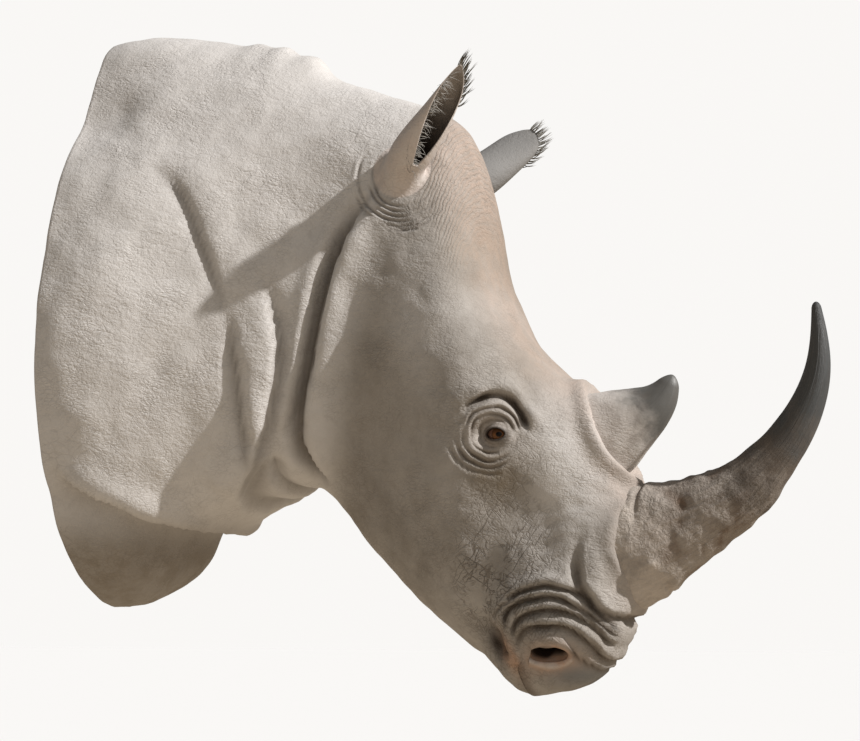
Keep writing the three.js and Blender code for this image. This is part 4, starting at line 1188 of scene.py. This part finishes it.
def hide_material(settings):
    """Dry grey-beige hide: blotches, pinker ridges, dust with painted light, painted shade darkening the
    crease bottoms, openings and hollows, a net of wrinkles, streaks and pores, and ribs across the forehead."""
    n = Finish("hide")
    place = n.place()
    broad, small = n.mottle(place, 5.0), n.mottle(place, 30.0)
    skin_texture = n.placed(wrinkles, {"Vector": place, "Net": n.mask("rough")})
    phase = n.plus(n.times(n.mask("along"), 560.0), n.times(small, 4.5))
    ribs = n.times(n.ramp(n.maths("SINE", phase), -0.9, 0.5), n.mask("ribbed"))
    # dust and painted light, a little mottled
    dusty = n.plus(n.times(small, 0.14), n.times(n.mask("dusty"), 0.82), True)
    # painted shade in brown, a little mottled
    shaded_share = n.times(n.mask("brown"), n.ramp(small, 0.0, 1.0, 0.6, 0.95))
    pinker = n.times(n.mask("warm"), n.ramp(small, 0.0, 1.0, 0.6, 1.0))
    # painted shade: the crease colour in the wrinkle net, between the plates and in the crease bottoms, and
    # the opening colour inside the ears, nostrils and mouth
    colour = n.layers(
        n.mix(broad, settings.tone, settings.shade), (dusty, settings.dust), (shaded_share, settings.brown),
        (pinker, settings.warm), (n.times(ribs, 0.15), settings.warm),
        (n.times(n.mask("cool"), 0.8), settings.cool),
        (n.ramp(skin_texture["Grain"], 0.0, 1.0, 0.13, 0.0), settings.grime),
        (n.times(skin_texture["Lines"], 0.6), settings.grime),
        (n.times(n.mask("grime"), 0.85), settings.grime), (n.mask("dark"), settings.deep))
    height = n.plus(skin_texture["Height"], n.times(ribs, 0.35))
    return n.done({"Base Color": colour, "Roughness": n.ramp(broad, 0.0, 1.0, 0.72, 0.86),
                   "Specular IOR Level": 0.3,
                   "Normal": n.bump(settings.wrinkle_strength, settings.wrinkle_height, height)})


def horn_material(name, base, middle, tip, hollow, strength, streaky):
    """Horn: hide-coloured crust at the base going darker and smoother to the tip, streaked along, with
    dark brown in the hollows of the crust."""
    n = Finish(name)
    grain, place = n.add("Attribute", {}, attribute_name="grain")["Vector"], n.place()
    along, blotch, small = n.mask("share"), n.mottle(place, 17.0), n.mottle(place, 70.0)
    fibres = n.noise(n.drawn(grain, (17, 17, 1.1)), 1.0, 6.0, 0.65)
    bent = n.plus(along, n.times(n.less(blotch, 0.5), 0.16))
    streaked = n.times(n.ramp(fibres, 0.38, 0.60, 1.0, 0.0),
                       n.ramp(along, 0.1, 0.5, 0.1 * streaky, 0.4 * streaky))
    brown = n.times(n.ramp(blotch, 0.1, 0.9, 0.45, 1.0), n.ramp(along, 0.08, 0.3, 0.05, 0.95))
    colour = n.layers([c * 1.35 for c in base], (n.ramp(bent, 0.02, 0.18), base),
                      (n.ramp(bent, 0.28, 0.52), middle), (n.ramp(bent, 0.44, 0.74), tip),
                      (streaked, [c * 0.4 for c in middle]), (n.times(n.mask("worn"), brown), hollow))
    creases = n.placed(wrinkles, {"Vector": place, "Net": 0.1})["Height"]
    height = n.plus(n.times(fibres, n.ramp(along, 0.1, 0.5, 0.25 * streaky, 0.5 * streaky)),
                    n.times(creases, n.ramp(along, 0.35, 0.7, 1.0, 0.15)))
    height = n.plus(height, n.times(small, n.ramp(along, 0.3, 0.6, 0.6 * streaky, 0.0)))
    return n.done({"Base Color": colour, "Roughness": n.ramp(along, 0.4, 0.95, 0.78, 0.46),
                   "Normal": n.bump(strength, 0.003, height)})


def eye_material(settings):
    """Glass eye: oval pupil, streaked amber iris with painted shade of the upper lid over its top, dark rim
    and a brown white, under a clear coat. The map "OFBake" holds half the angle from the line of sight as
    the distance from (0.5, 0.5)."""
    n = Finish("eye")
    flat = n.add("UVMap", {}, uv_map="OFBake")[0]
    centred = n.vector("SUBTRACT", {0: flat, 1: (0.5, 0.5, 0)})
    far = n.vector("LENGTH", {0: centred}, "Value")
    inner = n.vector("LENGTH", {0: n.drawn(centred, (1, 1.25, 1))}, "Value")
    streaks = n.noise(n.vector("NORMALIZE", {0: centred}), 7.0, 5.0)
    # high darkens the top of the iris: painted shade of the upper lid
    high = n.add("SeparateXYZ", {0: centred})["Y"]
    iris = n.layers(
        settings.iris_dark, (n.ramp(streaks, 0.3, 0.7), settings.iris),
        (n.ramp(far, 0.065, 0.095), [c * 0.5 for c in settings.iris_dark]),
        (n.ramp(high, -0.01, 0.05, 0.0, 0.8), [c * 0.4 for c in settings.iris_dark]))
    colour = n.mix(n.ramp(inner, 0.032, 0.044), (0.004, 0.003, 0.003), iris)
    colour = n.mix(n.ramp(far, 0.092, 0.104), colour, settings.white)
    return n.done({"Base Color": colour, "Roughness": 0.12, "Specular IOR Level": 0.1, "Coat Weight": 0.15,
                   "Coat Roughness": 0.03})


def hair_material(name, root, tip):
    """Ear hair: one colour mottled with another, dull."""
    n = Finish(name)
    blotch = n.mottle(n.place(), 60.0)
    return n.done({"Base Color": n.mix(blotch, root, tip), "Roughness": n.ramp(blotch, 0, 1, 0.5, 0.7)})


def plywood_material(board):
    """Plywood: grain as noise drawn out along the board's height, thin plies across its thickness."""
    n = Finish("plywood")
    place = n.place()
    grain = n.noise(n.drawn(place, (34, 34, 2.2)), 1.0, 7.0, 0.6, 0.8)
    depth = n.add("SeparateXYZ", {0: place})["Y"]
    plies = n.maths("FRACT", n.times(depth, 310.0))
    darker, dull, dark = ([c * share for c in board] for share in (0.55, 0.8, 0.4))
    colour = n.layers(board, (n.ramp(grain, 0.3, 0.7), darker), (n.times(n.mottle(place, 6.0), 0.4), dull),
                      (n.ramp(plies, 0.4, 0.6, 0.0, 0.25), dark))
    return n.done({"Base Color": colour, "Roughness": n.ramp(grain, 0, 1, 0.55, 0.8),
                   "Normal": n.bump(0.3, 0.0006, grain)})


def steel_material():
    """Brushed steel of the screw heads, with light scratches."""
    n = Finish("steel")
    marks = n.noise(n.drawn(n.place(), (900, 60, 900)), 1.0, 4.0)
    return n.done({"Base Color": n.mix(marks, (0.42, 0.43, 0.44), (0.62, 0.62, 0.61)),
                   "Roughness": n.ramp(marks, 0, 1, 0.25, 0.5), "Metallic": 1.0})


# ---- settings ----
def colour_setting(label, text, *value):
    """A linear colour setting."""
    return bpy.props.FloatVectorProperty(name=label, description=text, subtype="COLOR", size=3, min=0.0,
                                         max=1.0, default=value)


def number_setting(label, text, value, low, high, unit="NONE"):
    """A setting that is a number, in metres where unit is LENGTH."""
    return bpy.props.FloatProperty(name=label, description=text, default=value, min=low, max=high, unit=unit)


def share_setting(label, text, value):
    """A setting from 0 to 1."""
    return bpy.props.FloatProperty(name=label, description=text, default=value, min=0.0, max=1.0,
                                   subtype="FACTOR")


def count_setting(label, text, value, low, high):
    """A setting that counts something."""
    return bpy.props.IntProperty(name=label, description=text, default=value, min=low, max=high)


class HideSettings(bpy.types.PropertyGroup):
    tone: colour_setting("Hide", "Pale part of the hide", 0.372, 0.345, 0.318)
    shade: colour_setting("Hide shade", "Darker blotches of the hide", 0.262, 0.238, 0.213)
    # colour of the dust and of the painted light on the shoulders, neck, temple, side of the nose, nostril
    # rim and right ear
    dust: colour_setting("Dust", "Dry dust and painted light on the hide", 0.605, 0.58, 0.56)
    # colour of the painted shade under the shoulders and on the cheeks, below the eye, brow and lips
    brown: colour_setting("Brown", "Painted shade on the underside, cheeks, brow and lips", 0.165, 0.13, 0.088)
    warm: colour_setting("Pink", "Pinker hide of the ridges, lips and lids", 0.49, 0.315, 0.22)
    cool: colour_setting("Slate", "Blue-grey hide of the upper lip and the lids", 0.15, 0.16, 0.17)
    # colour of the painted shade in the crease bottoms, the wrinkle net and between the plates
    grime: colour_setting("Grime", "Bottoms of the creases", 0.085, 0.062, 0.042)
    # colour of the painted shade inside the ears, nostrils and mouth
    deep: colour_setting("Openings", "Inside the ears, nostrils and mouth", 0.022, 0.012, 0.007)
    wrinkle_height: number_setting("Wrinkle height", "Depth of the fine wrinkles", 0.0026, 0.0, 0.01,
                                   "LENGTH")
    wrinkle_strength: share_setting("Wrinkle strength", "Share of the wrinkles shown", 0.9)


class EyeSettings(bpy.types.PropertyGroup):
    iris: colour_setting("Iris", "Bright streaks of the iris", 0.21, 0.09, 0.033)
    # also the colour of the painted lid shade over the top of the iris
    iris_dark: colour_setting("Iris shade", "Dark streaks of the iris", 0.14, 0.055, 0.02)
    white: colour_setting("White", "Part of the eyeball round the iris", 0.16, 0.085, 0.06)


class HornSettings(bpy.types.PropertyGroup):
    base: colour_setting("Base", "Fibrous base of the horns", 0.36, 0.318, 0.28)
    middle: colour_setting("Middle", "Middle of the front horn", 0.135, 0.11, 0.09)
    tip: colour_setting("Tip", "Tips of the horns", 0.06, 0.064, 0.066)
    crust: colour_setting("Crust", "Brown hollows of the worn crust", 0.13, 0.078, 0.045)
    rear: colour_setting("Rear horn", "Sides of the rear horn", 0.53, 0.492, 0.46)
    rear_tip: colour_setting("Rear horn tip", "Tip of the rear horn", 0.11, 0.108, 0.102)


class HairSettings(bpy.types.PropertyGroup):
    locks: count_setting("Locks", "Locks of hair along the rim of each ear", 34, 1, 400)
    lock_hairs: count_setting("Hairs in a lock", "Hairs in each lock", 4, 1, 20)
    wisps: count_setting("Inner hairs", "Wisps inside each ear", 170, 0, 1000)
    fringe_length: number_setting("Fringe length", "Longest hairs of the ear fringe", 0.025, 0.0, 0.08,
                                  "LENGTH")
    dark: colour_setting("Fringe", "Dark hairs of the fringe", 0.085, 0.078, 0.066)
    pale: colour_setting("Inner hair", "Grey wisps inside the ears", 0.42, 0.40, 0.37)


class BoardSettings(bpy.types.PropertyGroup):
    board: colour_setting("Board", "Plywood of the backboard", 0.42, 0.27, 0.14)


class StageSettings(bpy.types.PropertyGroup):
    distance: number_setting("Camera distance", "From the camera to the point it looks at", 4.3, 1.0, 20.0,
                             "LENGTH")
    floor_drop: number_setting("Floor", "How far the floor lies under the mount's middle", 1.55, 1.0, 5.0,
                               "LENGTH")
    floor_tone: share_setting("Floor tone", "How pale the floor is", 0.80)
    sun: number_setting("Key light", "Strength of the key light", 4.9, 0.0, 20.0)
    fill: number_setting("Fill light", "Soft light from the front", 0.36, 0.0, 5.0)
    bounce: share_setting("Bounce", "Share of the light that comes back up, warmed", 0.5)
    sky: number_setting("Surrounding light", "Strength of the light from all round", 0.19, 0.0, 5.0)


# ---- operators ----
def dress(made, material, slot, *nodes):
    """Gives a finished piece its material and body, and hides the nodes that it stands for. slot is not used.
    """
    made.data.materials.append(material)
    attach(made, "root")
    if nodes:
        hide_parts(*nodes)


class RHINO_OT_hide(bpy.types.Operator):
    """Makes the hide of the shoulders, neck, head and ears as one skin"""
    bl_idname = "rhino.hide"
    bl_label = "Hide"

    def execute(self, context):
        hide = hide_mesh()
        values = np.concatenate(hide.masks)
        made = mesh_object("hide", *hide.arrays(), {key: values[:, i] for i, key in enumerate(MASKS)})
        dress(made, hide_material(context.scene.rhino_hide), "hide", "shoulders", "neck", "head", "ear_left",
              "ear_right")
        return {"FINISHED"}


class RHINO_OT_eyes(bpy.types.Operator):
    """Makes the two glass eyes"""
    bl_idname = "rhino.eyes"
    bl_label = "Eyes"

    def execute(self, context):
        material = eye_material(context.scene.rhino_eyes)
        for name, side in SIDES.items():
            ball = mesh_object("eyeball_" + name, *eyeball_mesh(side).arrays())
            dress(ball, material, "eye", "eye_" + name)
        return {"FINISHED"}


class RHINO_OT_horns(bpy.types.Operator):
    """Makes the front and rear horns"""
    bl_idname = "rhino.horns"
    bl_label = "Horns"

    def execute(self, context):
        settings = context.scene.rhino_horns
        tones = {"horn_front": (settings.base, settings.middle, settings.tip, settings.crust, 0.8, 1.0),
                 "horn_rear": (settings.rear, settings.rear, settings.rear_tip, settings.crust, 0.6, 0.3)}
        for name in HORNS:
            horn, share, grain, worn = horn_mesh(name)
            made = mesh_object(name + "_fibres", *horn.arrays(), {"share": share, "worn": worn})
            made.data.attributes.new("grain", "FLOAT_VECTOR", "POINT").data.foreach_set(
                "vector", grain.astype(np.float32).ravel())
            dress(made, horn_material(name, *tones[name]), "horn", name)
        return {"FINISHED"}


class RHINO_OT_hair(bpy.types.Operator):
    """Makes the fringe of each ear and the wisps inside it"""
    bl_idname = "rhino.hair"
    bl_label = "Ear hair"

    def execute(self, context):
        settings = context.scene.rhino_hair
        kinds = (("ear_fringe_", hair_material("fringe", settings.dark, [c * 2.2 for c in settings.dark])),
                 ("ear_wisps_", hair_material("wisps", settings.pale, [c * 0.5 for c in settings.pale])))
        for name in SIDES:
            for (label, material), hairs in zip(kinds, ear_hairs(name, settings)):
                dress(mesh_object(label + name, *hair_mesh(*hairs)), material, "horn")
        return {"FINISHED"}


class RHINO_OT_board(bpy.types.Operator):
    """Gives the backboard and its screws their wood and steel"""
    bl_idname = "rhino.board"
    bl_label = "Backboard"

    def execute(self, context):
        wood, steel = plywood_material(context.scene.rhino_board.board), steel_material()
        for name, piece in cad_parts.items():
            if name.startswith("board_screw"):
                piece.data.materials[0] = steel
            elif name == "backboard":
                piece.data.materials[0] = wood
        return {"FINISHED"}


def show(nodes, seen, other, output):
    """Shows the camera one shader, and every other ray the other one."""
    ray = nodes.add("LightPath", {})["Is Camera Ray"]
    both = nodes.add("MixShader", {0: ray, 1: other, 2: seen})[0]
    nodes.fill(nodes.tree.nodes[output].inputs["Surface"], both)


def linked(name, data, scene):
    """New object in the scene."""
    made = bpy.data.objects.new(name, data)
    scene.collection.objects.link(made)
    return made


def aimed(made, direction):
    """Turns a light or the camera so that it looks against a direction."""
    made.rotation_euler = direction.to_track_quat("Z", "Y").to_euler()


def make_floor(settings, scene):
    """A plain floor. It gives the light back darker and warmer than the camera sees it."""
    mesh = bpy.data.meshes.new("floor")
    corners = [(x * FLOOR_REACH, y * FLOOR_REACH, -settings.floor_drop)
               for x, y in ((-1, -1), (1, -1), (1, 1), (-1, 1))]
    mesh.from_pydata(corners, [], [(0, 1, 2, 3)])
    n = Finish("floor")
    mesh.materials.append(n.done({"Base Color": (*[settings.floor_tone] * 3, 1), "Roughness": 0.95,
                                  "Specular IOR Level": 0.0}))
    bounced = n.add("BsdfDiffuse", {"Color": (*[settings.bounce * c for c in BOUNCE_TONE], 1)})[0]
    show(n, n.shader.outputs[0], bounced, "Material Output")
    linked("floor", mesh, scene)


def make_lights(settings, scene):
    """The two suns and the light from all round. What the camera sees behind the mount is as bright as
    the lit floor, so that no edge shows."""
    backdrop = np.array(SKY_TONE) * settings.sky
    for (name, aim, spread, colour), energy in ((KEY, settings.sun), (FILL, settings.fill)):
        light = bpy.data.lights.new(name, "SUN")
        light.energy, light.angle, light.color = energy, spread, colour
        aim = Vector(aim).normalized()
        aimed(linked(name, light, scene), aim)
        backdrop += np.array(colour) * energy * max(aim.z, 0) / math.pi
    world = bpy.data.worlds.new("studio")
    world.use_nodes = True
    n = Nodes(world.node_tree)
    soft = n.tree.nodes["Background"]
    soft.inputs["Color"].default_value = (*SKY_TONE, 1)
    soft.inputs["Strength"].default_value = settings.sky
    plain = n.add("Background", {"Color": (*[float(c) * settings.floor_tone for c in backdrop], 1)})[0]
    show(n, plain, soft.outputs[0], "World Output")
    scene.world = world


def make_camera(settings, scene):
    """The camera, at its distance from the target along the line given by azimuth and elevation."""
    camera = bpy.data.cameras.new("camera")
    camera.sensor_width = SENSOR
    camera.lens = SENSOR * settings.distance / VIEW_WIDTH
    away = Vector((math.sin(AZIMUTH) * math.cos(ELEVATION), -math.cos(AZIMUTH) * math.cos(ELEVATION),
                   math.sin(ELEVATION)))
    scene.camera = linked("camera", camera, scene)
    scene.camera.location = Vector(TARGET) + away * settings.distance
    aimed(scene.camera, away)


class RHINO_OT_stage(bpy.types.Operator):
    """Makes the floor, the lights and the camera"""
    bl_idname = "rhino.stage"
    bl_label = "Stage"

    def execute(self, context):
        settings, scene = context.scene.rhino_stage, context.scene
        scene.view_settings.view_transform = "Standard"
        make_floor(settings, scene)
        make_lights(settings, scene)
        make_camera(settings, scene)
        return {"FINISHED"}


class RHINO_PT_sidebar(bpy.types.Panel):
    """Lists the pieces of the mount with their settings"""
    bl_idname = "RHINO_PT_sidebar"
    bl_label = "Rhinoceros mount"
    bl_space_type = "VIEW_3D"
    bl_region_type = "UI"
    bl_category = "Rhinoceros"

    def draw(self, context):
        for key, group in SETTINGS.items():
            box = self.layout.box()
            box.operator("rhino." + key)
            for label in group.__annotations__:
                box.prop(getattr(context.scene, "rhino_" + key), label)


SETTINGS = {"hide": HideSettings, "eyes": EyeSettings, "horns": HornSettings, "hair": HairSettings,
            "board": BoardSettings, "stage": StageSettings}
OPERATORS = (RHINO_OT_hide, RHINO_OT_eyes, RHINO_OT_horns, RHINO_OT_hair, RHINO_OT_board, RHINO_OT_stage)


def register():
    for key, group in SETTINGS.items():
        bpy.utils.register_class(group)
        setattr(bpy.types.Scene, "rhino_" + key, bpy.props.PointerProperty(type=group))
    for one in OPERATORS + (RHINO_PT_sidebar,):
        bpy.utils.register_class(one)


def unregister():
    for one in (RHINO_PT_sidebar,) + OPERATORS[::-1]:
        bpy.utils.unregister_class(one)
    for key, group in SETTINGS.items():
        delattr(bpy.types.Scene, "rhino_" + key)
        bpy.utils.unregister_class(group)


def main():
    """Makes every piece in order."""
    register()
    for key in SETTINGS:
        getattr(bpy.ops.rhino, key)()


if __name__ == "__main__":
    main()
